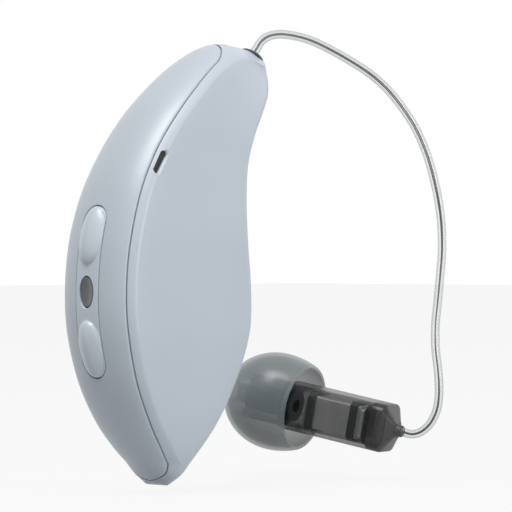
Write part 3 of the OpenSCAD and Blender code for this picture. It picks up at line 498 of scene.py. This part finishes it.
def insideFrom(t, depth, rowsUp=4):
    # Rows of the cavity's wall, from a depth round to the middle of the front
    section = sectionAt(t, casing["wall"])
    rows = []
    top = section["start"] + section["crown"]
    if depth < top:
        share = (depth - section["start"]) / section["crown"] * (1 - math.cos(crownArc))
        a0 = math.acos(max(-1, min(1, 1 - share)))
        rows += [crownSpot(section, a0 + (crownArc - a0) * k / rowsUp) for k in range(rowsUp + 1)]
    else:
        rows += [(depth, section["half"])] * (rowsUp + 1)
    rows.append((max(depth, top + section["edge"]), section["half"]))
    near = (section["end"] - section["soft"], section["frontHalf"])
    rows.append(near)
    for k in range(1, 4):
        a = math.pi / 2 * k / 3
        rows.append((near[0] + section["soft"] * math.sin(a),
                     near[1] - section["soft"] + section["soft"] * math.cos(a)))
    rows.append((section["end"], 0))
    return rows


# The spine cover's seat: an outline like a pill, in stations t and y
seat = {"low": 0.28, "high": 12.98, "roundLow": 0.75, "roundHigh": 1.2, "arcSteps": 14,
        "straightSteps": 110, "stationLength": 3, "cavityLow": 1.6, "cavityHigh": 12.85}


def pillPlaces(low, high, roundLow, roundHigh, arcSteps, straightSteps):
    # Each place is its station, the angle round the end, and the way its end's outline moves
    def angleAt(k):
        return math.pi / 2 * k / arcSteps

    places = [(low + roundLow * (1 - math.cos(angleAt(k))), angleAt(k), -1) for k in range(arcSteps)]
    for k in range(straightSteps + 1):
        t = low + roundLow + (high - roundHigh - low - roundLow) * k / straightSteps
        places.append((t, math.pi / 2, 0))
    places += [(high - roundHigh * (1 - math.cos(angleAt(k))), angleAt(k), 1)
               for k in range(arcSteps - 1, -1, -1)]
    return places


def seatSpot(place, grow):
    # A place on the seat's outline, moved outward by grow
    t, a, end = place
    t += end * math.cos(a) * grow / seat["stationLength"]
    return t, (sectionAt(t)["halfOut"] - casing["rimWidth"] + grow) * math.sin(a)


filletSteps = 3
seatPlaces = pillPlaces(seat["low"], seat["high"], seat["roundLow"], seat["roundHigh"],
                        seat["arcSteps"], seat["straightSteps"])


def housingColumn(place, hollow):
    t = place[0]
    floor = sectionAt(t)["crownOut"] + casing["ledgeDepth"]
    inner = insideFrom(t, floor)
    if hollow:
        rows = [spot(t, d, y) for d, y in reversed(inner)]
    else:
        rows = [spot(t, floor, 0)] * len(inner)
    tw, yw = seatSpot(place, 0)
    rows.append(spot(tw, sectionAt(tw)["crownOut"] + casing["ledgeDepth"], yw))
    fillet = casing["seamFillet"]
    for k in range(filletSteps + 1):
        b = math.pi / 2 * k / filletSteps
        tf, yf = seatSpot(place, fillet * (1 - math.cos(b)))
        rows.append(spot(tf, dropAt(tf, yf) + fillet * (1 - math.sin(b)), yf))
    tf, yf = seatSpot(place, fillet)
    return rows + outside(tf, crownAngle(sectionAt(tf), yf))


def buildHousing():
    columns, kinds = [], []
    rimRow = len(insideFrom(5, 2)) + 1 + filletSteps + 1

    def plain(t):
        out = outside(t, 0)
        columns.append([out[0]] * rimRow + out)
        kinds.append("plain")

    lowEnd = seat["low"] - casing["seamFillet"] / seat["stationLength"]
    highEnd = seat["high"] + casing["seamFillet"] / seat["stationLength"]
    for k in range(7):
        plain(lowEnd * k / 7)
    hollowNow, lastT = False, seat["low"]
    for place in seatPlaces:
        for limit in ("cavityLow", "cavityHigh"):
            if lastT < seat[limit] <= place[0]:
                edge = (seat[limit], place[1], place[2])
                order = (False, True) if limit == "cavityLow" else (True, False)
                for hollow in order:
                    columns.append(housingColumn(edge, hollow))
                    kinds.append("seat")
                hollowNow = order[1]
        columns.append(housingColumn(place, hollowNow))
        kinds.append("seat")
        lastT = place[0]
    for k in range(1, 9):
        plain(highEnd + (topT - highEnd) * k / 8)

    def skip(c, r):
        return "plain" in (kinds[c], kinds[c + 1]) and r < rimRow

    points, faces = mirrored(columns, skip, capLow=True, capHigh=True)
    return addPiece("housingShell", points, faces, "shell", "casing", ["housing"])


def stadium(w, l, steps=10):
    ring = []
    for k in range(2 * steps):
        a = math.pi * 2 * k / (2 * steps)
        shift = (1 if math.sin(a) >= 0 else -1) * (l - w) / 2
        ring.append((w / 2 * math.cos(a), w / 2 * math.sin(a) + shift))
    return ring


def along(t):
    return (spineAt(t + 0.1) - spineAt(t - 0.1)).normalized()


def onSpine(t, depth, x, y, z):
    # A place in a frame on the spine: x inward, z up along it, at a depth below it
    a, s = along(t), spineAt(t)
    return (s.x + a.y * (depth + x) + a.x * z, y, s.y - a.x * (depth + x) + a.y * z)


ports = {"frontT": 13.16, "frontWidth": 1.5, "frontLength": 0.4, "frontDepth": 1.5,
         "rearT": 8.85, "rearLength": 2, "rearWidth": 0.55, "rearDepth": 0.95, "flare": 0.14,
         "flareShare": 1.6, "screenSink": 0.3}


def rearCutter():
    # The rear slot's cutter: its rings' places along y, with how far each flares out
    rings = []
    half = halfThickness * smooth(spineHalf, ports["rearT"])
    mouth = ports["flare"]
    stations = [(-halfThickness - 1, mouth + 0.12), (-half - 0.02, mouth), (-half + 0.1, 0.02),
                (-half + 0.16, 0), (-halfThickness + ports["rearDepth"], 0)]
    for y, flare in stations:
        ring = []
        for u, v in stadium(ports["rearWidth"] + 2 * flare, ports["rearLength"] + 2 * flare):
            if v > 0:
                v += flare * ports["flareShare"]        # the upper end runs out in a wider facet
            ring.append(onSpine(ports["rearT"], sectionAt(ports["rearT"])["crownOut"], u, y, v))
        rings.append(ring)
    points, faces = loft(rings)
    return addPiece("cutter", points, faces, "shell", None)


def boxCutter(t, depths, ys, zs):
    points = [onSpine(t, 0, x, y, z) for x in depths for y in ys for z in zs]
    faces = [[0, 1, 3, 2], [4, 6, 7, 5], [0, 4, 5, 1], [2, 3, 7, 6], [0, 2, 6, 4], [1, 5, 7, 3]]
    return addPiece("cutter", points, faces, "shell", None)


def tubeAlong(origin, axis, profile, steps=48):
    # Rings round an axis, from (distance, radius) pairs
    axis = Vector(axis).normalized()
    side = axis.orthogonal().normalized()
    up = axis.cross(side)
    return [[tuple(Vector(origin) + axis * d + (side * math.cos(a) + up * math.sin(a)) * r)
             for a in (2 * math.pi * k / steps for k in range(steps))] for d, r in profile]


noseMid = (spineAt(topT) + frontAt(topT)) / 2
noseInward = (frontAt(topT) - spineAt(topT)).normalized()
noseOrigin = (noseMid.x, 0, noseMid.y)
noseOut = (-noseInward.y, 0, noseInward.x)
plug = {"diameter": 1.5, "fit": 0.03, "noseWall": 0.85, "socketDiameter": 2.4, "length": 4.2,
        "collarDiameter": 2.1, "collarHeight": 0.2, "bevel": 0.06, "grooveDepth": 0.15,
        "contactDepths": (1.5, 2.4, 3.3), "contactHeight": 0.45}
housing = buildHousing()
halfRear = halfThickness * smooth(spineHalf, ports["rearT"])
boreR = plug["diameter"] / 2 + plug["fit"]
socketR = plug["socketDiameter"] / 2 + casing["play"]
mouthR = boreR + 0.08
bore = [(1, mouthR), (0.02, mouthR), (-0.06, boreR), (-plug["noseWall"], boreR),
        (-plug["noseWall"], socketR), (-plug["length"] - 1, socketR)]
points, faces = loft(tubeAlong(noseOrigin, noseOut, bore))
cutters = [addPiece("cutter", points, faces, "shell", None)]
portHalfW, portHalfL = ports["frontWidth"] / 2, ports["frontLength"] / 2
cutters.append(boxCutter(ports["frontT"], (-1, ports["frontDepth"]), (-portHalfW, portHalfW),
                         (-portHalfL, portHalfL)))
cutters.append(rearCutter())
cut(housing, cutters)
print("housing made", len(housing.data.polygons))

# The rocker's outline on the spine
rocker = {"length": 13.2, "width": 2.54, "gap": 0.06, "thickness": 0.7, "middle": -7.6,
          "noseRise": 0.6, "noseLength": 4.4, "nosePeak": 0.55, "noseSide": 0.55, "noseSwell": 0.45,
          "ridgeSoft": 0.12, "hingeDepth": 1.6, "pinBore": 0.365, "windowWidth": 1.5,
          "windowLength": 2.4, "roundEnd": 0.32, "fillet": 0.08, "arcSteps": 14, "straightSteps": 96}


def spineT(z):
    low, high = 1.0, 12.0
    for k in range(30):
        mid = (low + high) / 2
        if spineAt(mid).y < z:
            low = mid
        else:
            high = mid
    return low


rockerLow = spineT(rocker["middle"] - rocker["length"] / 2)
rockerHigh = spineT(rocker["middle"] + rocker["length"] / 2)
rockerPlaces = pillPlaces(rockerLow, rockerHigh, rocker["roundEnd"], rocker["roundEnd"],
                          rocker["arcSteps"], rocker["straightSteps"])


def slotSpot(place, grow):
    # A place on the rocker's outline, moved outward by grow
    t, a, end = place
    t += end * math.cos(a) * grow / seat["stationLength"]
    return t, (rocker["width"] / 2 + grow) * math.sin(a)


def buildCover():
    # Columns run over both the seam's and the slot's ends
    clear = 0.08        # stations left free before and after the slot
    base = [(p[0], p, None) for p in seatPlaces if p[0] < rockerLow - clear or p[0] > rockerHigh + clear]
    base += [(p[0], (p[0], math.pi / 2, 0), p) for p in rockerPlaces]
    for limit in (seat["cavityLow"], seat["cavityHigh"]):
        near = min(base, key=lambda row: abs(row[0] - limit))
        base.remove(near)
        place = (limit, near[1][1], near[1][2])
        base += [(limit - 1e-7, place, None), (limit + 1e-7, place, None)]
    base.sort(key=lambda row: row[0])
    gap, play, fillet = casing["seamGap"], casing["play"], casing["seamFillet"]
    slotFillet = casing["slotFillet"]
    columns, kinds = [], []
    crownRows = 10
    for t, place, slotPlace in base:
        hollow = seat["cavityLow"] < t < seat["cavityHigh"]
        te, ye = seatSpot(place, -gap)
        tf, yf = seatSpot(place, -gap - fillet)
        depth = sectionAt(te)["crownOut"] + casing["ledgeDepth"] - play
        rows = []
        if slotPlace:
            ts, ys = slotSpot(slotPlace, rocker["gap"] + slotFillet)
            for k in range(filletSteps + 1):
                b = math.pi / 2 * k / filletSteps
                tk, yk = slotSpot(slotPlace, rocker["gap"] + slotFillet * (1 - math.cos(b)))
                rows.append(spot(tk, dropAt(tk, yk) + slotFillet * (1 - math.sin(b)), yk))
        else:
            ts, ys = t, 0
            rows += [spot(t, 0, 0)] * (filletSteps + 1)
        yf = max(yf, 0)
        for k in range(1, crownRows + 1):
            f = k / crownRows
            tk, yk = ts + (tf - ts) * f, ys + (yf - ys) * f
            rows.append(spot(tk, dropAt(tk, yk), yk))
        for k in range(1, filletSteps + 1):
            b = math.pi / 2 * k / filletSteps
            tk, yk = seatSpot(place, -gap - fillet * (1 - math.sin(b)))
            rows.append(spot(tk, dropAt(tk, max(0, yk)) + fillet * (1 - math.cos(b)), max(0, yk)))
        ye = max(0, ye)
        rows.append(spot(te, depth, ye))
        lipY = min(insideFrom(t, depth)[0][1], ye)
        rows.append(spot(t, depth, lipY))
        slotT, slotY = slotSpot(slotPlace, rocker["gap"]) if slotPlace else (t, 0)
        for k in range(1, crownRows + 1):
            f = k / crownRows
            yk = lipY + (slotY - lipY) * f
            tk = t + (slotT - t) * f
            inner = sectionAt(tk, casing["wall"])
            d = crownSpot(inner, crownAngle(inner, yk))[0] if hollow else depth
            rows.append(spot(tk, min(d, depth), yk))
        columns.append(rows)
        kinds.append("slot" if slotPlace else "solid")
    count = len(columns[0])

    def skip(c, r):
        if kinds[c] != kinds[c + 1]:
            return r < filletSteps or r == count - 1
        return kinds[c] == "solid" and r == count - 1

    points, faces = mirrored(columns, skip, loop=True)
    return addPiece("spineCover", points, faces, "spine", "casing", ["spine_cover"])


cover = buildCover()
print("spine cover made", len(cover.data.polygons))


def softAbs(y, r):
    return math.sqrt(y * y + r * r) - r


def noseAt(z, y):
    # How far a thumb nose stands up: a lens in outline, with two facets that meet in a soft ridge
    s = (rocker["length"] / 2 - abs(z - rocker["middle"])) / rocker["noseLength"]
    peak = rocker["nosePeak"]
    e = ((s - peak) / peak) ** 2 * (1 if s < peak else 1.5)
    across = abs(y) / (rocker["width"] / 2)
    q = 1 - e - (across * 0.98) ** 2
    if q <= 0:
        return 0
    ridge = 1 - rocker["noseSide"] * softAbs(y, rocker["ridgeSoft"]) / (rocker["width"] / 2)
    return rocker["noseRise"] * q ** rocker["noseSwell"] * ridge


def buildRocker():
    fillet, rows = rocker["fillet"], 16
    columns = []
    for place in rockerPlaces:
        column = []
        ti, yi = slotSpot(place, -fillet)
        for k in range(rows + 1):
            f = k / rows
            t, y = place[0] + (ti - place[0]) * f, max(0, yi) * f
            z = spineAt(t).y
            column.append(spot(t, dropAt(t, y) - noseAt(z, y), y))
        for k in range(1, filletSteps + 1):
            b = math.pi / 2 * k / filletSteps
            t, y = slotSpot(place, -fillet * (1 - math.sin(b)))
            y = max(0, y)
            column.append(spot(t, dropAt(t, y) - noseAt(spineAt(t).y, y) + fillet * (1 - math.cos(b)), y))
        t, y = slotSpot(place, 0)
        column.append(spot(t, rocker["thickness"] + dropAt(t, y) * 0.3, max(0, y)))
        column.append(spot(place[0], rocker["thickness"], 0))
        columns.append(column)
    points, faces = mirrored(columns, lambda c, r: False)
    return addPiece("controlRocker", points, faces, "rocker", "rocker", ["control_rocker"], 40)


hingeX = spineAt(spineT(rocker["middle"])).x + rocker["hingeDepth"]
piece = buildRocker()


def ovalPiece(name, grow, xs, finish, body, replaced=()):
    # Oval rings on the hinge's axis, from (depth, shrink) pairs
    rings = []
    for x, shrink in xs:
        w, l = (rocker[k] / 2 + grow / 2 - shrink for k in ("windowWidth", "windowLength"))
        ring = [(hingeX + x, w * math.cos(a), rocker["middle"] + l * math.sin(a))
                for a in (math.pi * k / 32 for k in range(64))]
        rings.append(ring)
    points, faces = loft(rings)
    return addPiece(name, points, faces, finish, body, replaced)


outX, deepX = -rocker["hingeDepth"], rocker["thickness"] - rocker["hingeDepth"]
recess = [(outX - 1, -0.06), (outX + 0.02, -0.06), (outX + 0.09, 0), (deepX + 0.6, 0)]
cut(piece, [ovalPiece("cutter", 2 * casing["play"], recess, "rocker", None)])

# The two lugs on the pins, and the pads over the switches
lug = {"reach": 1.05, "rootHalf": 0.7, "radius": 0.5, "offset": 0.15, "halfWidth": 0.24}
pad = {"offset": 4.6, "sink": 0.15, "radius": 0.65, "bevel": 0.08, "railDepth": 2.45, "flex": 0.12,
       "switch": 0.6, "gap": 0.2}
padEnd = pad["railDepth"] - pad["flex"] - pad["switch"] - pad["gap"]
lugs = []
for side in (-1, 1):
    y0 = side * (rocker["windowWidth"] / 2 + lug["offset"])
    outline = [(-lug["reach"], -lug["rootHalf"]), (0, -lug["radius"])]
    outline += [(lug["radius"] * math.cos(a), lug["radius"] * math.sin(a))
                for a in (math.radians(-75 + 15 * k) for k in range(11))]
    outline += [(0, lug["radius"]), (-lug["reach"], lug["rootHalf"])]
    rings = [[(hingeX + u, y, rocker["middle"] + v) for u, v in outline]
             for y in (y0 - lug["halfWidth"], y0 + lug["halfWidth"])]
    lugs.append(addPiece("cutter", *loft(rings), "rocker", None))
    padZ = rocker["middle"] + side * pad["offset"]
    x0 = spineAt(spineT(padZ)).x + rocker["thickness"] - pad["sink"]
    x1 = spineAt(spineT(rocker["middle"])).x + padEnd
    profile = [(0, pad["radius"]), (x1 - x0 - pad["bevel"], pad["radius"]),
               (x1 - x0, pad["radius"] - pad["bevel"])]
    points, faces = loft(tubeAlong((x0, 0, padZ), (1, 0, 0), profile, 32))
    lugs.append(addPiece("cutter", points, faces, "rocker", None))
cut(piece, lugs, "UNION")
pinBore = [(0, rocker["pinBore"]), (4, rocker["pinBore"])]
points, faces = loft(tubeAlong((hingeX, -2, rocker["middle"]), (0, 1, 0), pinBore, 32))
cut(piece, [addPiece("cutter", points, faces, "rocker", None)])
smoothShade(piece, 40)
glass = [(deepX + 0.3, 0.45), (deepX, 0.45), (deepX, 0), (outX + 0.2, 0), (outX + 0.12, 0.04),
         (outX + 0.09, 0.12), (outX + 0.13, 0.3), (outX + 0.2, 0.55)]
ovalPiece("lightWindow", 0, glass, "window", "rocker", ["light_window"])
print("rocker made", len(piece.data.polygons))

# The microphone's mesh screen in the rear slot, and the plug's collar
screenY = -halfRear + ports["screenSink"]
screenRings = []
for y, shrink in ((screenY - 0.03, 0.06), (screenY, 0.02), (screenY + 0.12, 0.02)):
    ring = [onSpine(ports["rearT"], sectionAt(ports["rearT"])["crownOut"], u, y, v)
            for u, v in stadium(ports["rearWidth"] - 2 * shrink, ports["rearLength"] - 2 * shrink)]
    screenRings.append(ring)
points, faces = loft(screenRings)
addPiece("rearMicScreen", points, faces, "screen", "casing", ["rear_mic_screen"])
r, b, h = plug["collarDiameter"] / 2, plug["bevel"], plug["collarHeight"]
inner = lead["diameter"] / 2 + 0.02
shaftR = plug["diameter"] / 2
profile = [(0.05, shaftR), (0.05, r - b / 2), (0.05 + b / 2, r), (h - b, r), (h - b * 0.3, r - b * 0.3),
           (h, r - b), (h, inner + 0.1), (h - 0.03, inner + 0.02), (h / 2, inner), (h / 2, 0.02)]
grooveR = shaftR - plug["grooveDepth"]
shaft = [(-plug["length"], 0.02), (-plug["length"], shaftR - 0.07), (-plug["length"] + 0.07, shaftR)]
for z in reversed(plug["contactDepths"]):
    low = -z - plug["contactHeight"]
    shaft += [(low, shaftR), (low, grooveR), (-z, grooveR), (-z, shaftR)]
points, faces = loft(tubeAlong(noseOrigin, noseOut, shaft + profile, 64))
addPiece("leadPlug", points, faces, "plug", "lead", ["lead_plug"])
print("collar and screen made")

# The receiver, along its own axis from the end cap's face
receiver = {"length": 10.4, "height": 4, "width": 3.4, "wall": 0.32, "round": 0.9, "capLength": 2,
            "capTip": 1.3, "capTaper": 0.9, "reliefLength": 0.5, "spoutDiameter": 2.2, "spoutLength": 3.6,
            "frontWall": 0.45, "bevel": 0.14, "play": 0.03}
lastRun = (routePoints[-1] - routePoints[-2]).normalized()
receiverOrigin = routePoints[-1] + lastRun * receiver["reliefLength"]
pitch, heading = -math.asin(lastRun.z), math.atan2(lastRun.y, lastRun.x)


def atReceiver(x, y, z):
    xr = x * math.cos(pitch) + z * math.sin(pitch)
    zr = -x * math.sin(pitch) + z * math.cos(pitch)
    return (receiverOrigin.x + xr * math.cos(heading) - y * math.sin(heading),
            receiverOrigin.y + xr * math.sin(heading) + y * math.cos(heading),
            receiverOrigin.z + zr)


def roundedRing(x, w, h, r, steps=7):
    ring = []
    for cy, cz, a0 in ((w / 2 - r, h / 2 - r, 0), (-w / 2 + r, h / 2 - r, 90),
                       (-w / 2 + r, -h / 2 + r, 180), (w / 2 - r, -h / 2 + r, 270)):
        for k in range(steps + 1):
            a = math.radians(a0 + 90 * k / steps)
            ring.append(atReceiver(x, cy + r * math.cos(a), cz + r * math.sin(a)))
    return ring


def shellPiece(name, stations, finish, replaced, loop=False):
    rings = [roundedRing(*station) for station in stations]
    points, faces = loft(rings + ([rings[0]] if loop else []), not loop)
    if loop:
        points, faces = weld(points, faces, 0.0001)
    return addPiece(name, points, faces, finish, "lead", replaced)


w, h, rr, wall, bevel, play = (receiver[k] for k in ("width", "height", "round", "wall", "bevel", "play"))
innerW, innerH, innerR = w - 2 * wall, h - 2 * wall, rr - wall
sr = receiver["spoutDiameter"] / 2 + play
front = receiver["length"]
shellBack = receiver["capLength"] + play
shellStations = [(shellBack, w - 0.1, h - 0.1, rr - 0.05), (shellBack + 0.05, w, h, rr)]
shellStations += [(front - bevel + bevel * math.sin(a), w - 2 * bevel * (1 - math.cos(a)),
                   h - 2 * bevel * (1 - math.cos(a)), rr - bevel * (1 - math.cos(a)))
                  for a in (math.radians(30 * k) for k in range(4))]
shellStations += [(front, 2 * sr, 2 * sr, sr), (front - receiver["frontWall"], 2 * sr, 2 * sr, sr),
                  (front - receiver["frontWall"], innerW, innerH, innerR),
                  (shellBack, innerW, innerH, innerR)]
shellPiece("receiverShell", shellStations, "receiver_shell", ["receiver_shell"], loop=True)
tip, taper, capL = receiver["capTip"], receiver["capTaper"], receiver["capLength"]
capStations = [(0, tip - 0.16, tip - 0.16, tip / 4 - 0.05), (0.07, tip + 0.08, tip + 0.08, tip / 4)]
capStations += [(0.07 + (taper - 0.12) * f, tip + (w - tip) * f, tip + (h - tip) * f,
                 tip / 4 + (rr - tip / 4) * f) for f in (0.25, 0.5, 0.75, 0.96)]
lip = (innerW - 0.1, innerH - 0.1, innerR - 0.05)
capStations += [(taper + 0.03, w, h, rr), (capL - 0.04, w, h, rr), (capL, w - 0.08, h - 0.08, rr - 0.04),
                (capL, *lip), (capL + 0.5, *lip)]
shellPiece("receiverEndCap", capStations, "end_cap", ["receiver_end_cap"])
can = {"low": 3.1, "high": 8.3, "width": 2.2, "height": 2.8, "round": 0.25, "bevel": 0.08}
canLow, canHigh, canW, canH, canR, cb = can.values()
canStations = [(canLow, canW - 2 * cb, canH - 2 * cb, canR - cb), (canLow + cb, canW, canH, canR),
               (canHigh - cb, canW, canH, canR), (canHigh, canW - 2 * cb, canH - 2 * cb, canR - cb)]
shellPiece("receiverCan", canStations, "can", ["receiver_can"])
reliefProfile = [(0, lead["diameter"] / 2 + 0.01), (0.02, 0.44), (0.1, 0.48), (0.22, 0.5), (0.4, 0.56),
                 (0.49, 0.6), (0.5, 0.3)]
reliefRings = tubeAlong(routePoints[-1], lastRun, reliefProfile)
addPiece("strainRelief", *loft(reliefRings), "relief", "lead", ["strain_relief"])
print("receiver made")

# The soft dome, turned round the receiver's axis
dome = {"diameter": 8.2, "rim": 7.1, "length": 7.3, "wall": 0.3, "hub": 3.8, "noseBore": 1.6,
        "noseFlat": 0.35, "skirtShare": 0.37, "rimBack": 1.55, "steps": 128}
skirt = dome["skirtShare"] * dome["length"]
crest = front - dome["rimBack"] + skirt        # the dome's widest place
noseLength = dome["length"] - skirt
spoutEnd = front + receiver["spoutLength"]
domeR = dome["diameter"] / 2


def skirtRadius(s, r):
    return r * math.sqrt(1 - (s / skirt) ** 2 * (1 - (dome["rim"] / dome["diameter"]) ** 2))


def buildDome():
    innerR0, innerL = domeR - dome["wall"], noseLength - dome["wall"]
    hubA = math.asin(dome["hub"] / 2 / innerR0)
    tipA = math.asin((dome["noseBore"] / 2 + dome["noseFlat"]) / domeR)
    outer = [(crest - skirt * f, skirtRadius(skirt * f, domeR)) for f in [1 - k / 12 for k in range(12)]]
    outer += [(crest + noseLength * math.cos(a), domeR * math.sin(a))
              for a in (math.pi / 2 + (tipA - math.pi / 2) * k / 28 for k in range(29))]
    noseX = outer[-1][0]
    r0, lipR, gap, bevel = dome["noseBore"] / 2, 0.1, 0.1, 0.08
    outer += [(noseX + 0.012, r0 + lipR * 1.5), (noseX - 0.01, r0 + lipR * 0.5), (noseX - lipR, r0),
              (spoutEnd + gap, r0), (spoutEnd + gap, sr), (front + gap, sr),
              (front + gap, dome["hub"] / 2 - bevel), (front + gap + bevel, dome["hub"] / 2)]
    inner = [(crest + innerL * math.cos(a), innerR0 * math.sin(a))
             for a in (hubA + (math.pi / 2 - hubA) * k / 22 for k in range(23))]
    inner += [(crest - skirt * f, skirtRadius(skirt * f, innerR0)) for f in [k / 12 for k in range(1, 12)]]
    rimMid = (skirtRadius(skirt, domeR) + skirtRadius(skirt, innerR0)) / 2
    rimR = dome["wall"] / 2
    rim = [(crest - skirt + rimR * (1 - math.sin(a)), rimMid - rimR * math.cos(a))
           for a in (math.pi * k / 6 for k in range(1, 6))]
    outer[0] = (crest - skirt + rimR, outer[0][1])
    inner[-1] = (crest - skirt + rimR * 1.4, inner[-1][1])
    profile = outer + inner + rim
    rings = []
    for d, r in profile:
        rings.append([atReceiver(d, r * math.cos(a), r * math.sin(a))
                      for a in (2 * math.pi * k / dome["steps"] for k in range(dome["steps"]))])
    points, faces = loft(rings + [rings[0]], False)
    points, faces = weld(points, faces, 0.0001)
    return addPiece("earDome", points, faces, "dome", "dome", ["ear_dome"], 50)


buildDome()
print("dome made")

# Light from a soft box at the upper left, two fills, and a pale room
studio = {"key": 1.5, "front": 0.85, "side": 0.12, "room": 0.26, "floorDrop": 0.6,
          "floorReach": 1.5, "floorGlow": 0.9}


def lamp(name, power, size, place, target=(0.002, -0.002, -0.006)):
    data = bpy.data.lights.new(name, "AREA")
    data.energy = power
    data.size = size
    light = bpy.data.objects.new(name, data)
    light.location = place
    light.rotation_euler = (Vector(target) - Vector(place)).to_track_quat("-Z", "Y").to_euler()
    bpy.context.scene.collection.objects.link(light)
    return light


lamp("key", studio["key"], 0.22, (-0.19, -0.05, 0.4))
lamp("front", studio["front"], 0.2, (0.06, -0.42, 0.06))
lamp("side", studio["side"], 0.2, (0.35, -0.1, 0.1))
world = bpy.data.worlds.new("room")
bpy.context.scene.world = world
world.use_nodes = True
tree = world.node_tree
tree.nodes.clear()
output = tree.nodes.new("ShaderNodeOutputWorld")
mix = tree.nodes.new("ShaderNodeMixShader")
roomLight = tree.nodes.new("ShaderNodeBackground")
roomLight.inputs["Color"].default_value = (0.93, 0.97, 1, 1)
roomLight.inputs["Strength"].default_value = studio["room"]
white = tree.nodes.new("ShaderNodeBackground")
white.inputs["Color"].default_value = (1, 1, 1, 1)


def seenDirectly(tree):
    # 1 for what the camera, a reflection or a clear piece sees
    path = tree.nodes.new("ShaderNodeLightPath")
    total = path.outputs["Is Camera Ray"]
    for ray in ("Is Glossy Ray", "Is Transmission Ray"):
        join = tree.nodes.new("ShaderNodeMath")
        join.operation = "MAXIMUM"
        tree.links.new(total, join.inputs[0])
        tree.links.new(path.outputs[ray], join.inputs[1])
        total = join.outputs[0]
    return total


tree.links.new(seenDirectly(tree), mix.inputs["Fac"])
tree.links.new(roomLight.outputs[0], mix.inputs[1])
tree.links.new(white.outputs[0], mix.inputs[2])
tree.links.new(mix.outputs[0], output.inputs["Surface"])

floorZ = cadBox[0][2] - studio["floorDrop"] * mm
floorMesh = bpy.data.meshes.new("floor")
reach = studio["floorReach"]
floorMesh.from_pydata([(-reach, -reach, floorZ), (reach, -reach, floorZ), (reach, reach, floorZ),
                       (-reach, reach, floorZ)], [], [(0, 1, 2, 3)])
floor = bpy.data.objects.new("floor", floorMesh)
bpy.context.scene.collection.objects.link(floor)
pale = bpy.data.materials.new("paleFloor")
pale.use_nodes = True
tree = pale.node_tree
shader = tree.nodes["Principled BSDF"]
shader.inputs["Base Color"].default_value = (0.42, 0.43, 0.44, 1)
shader.inputs["Roughness"].default_value = 0.8
glow = tree.nodes.new("ShaderNodeEmission")
glow.inputs["Color"].default_value = (1, 1, 1, 1)
scale = tree.nodes.new("ShaderNodeMath")
scale.operation = "MULTIPLY"
scale.inputs[1].default_value = studio["floorGlow"]
tree.links.new(seenDirectly(tree), scale.inputs[0])
blend = tree.nodes.new("ShaderNodeMixShader")
tree.links.new(scale.outputs[0], blend.inputs["Fac"])
tree.links.new(shader.outputs[0], blend.inputs[1])
tree.links.new(glow.outputs[0], blend.inputs[2])
tree.links.new(blend.outputs[0], tree.nodes["Material Output"].inputs["Surface"])
floorMesh.materials.append(pale)
bpy.context.scene.view_settings.view_transform = "Standard"
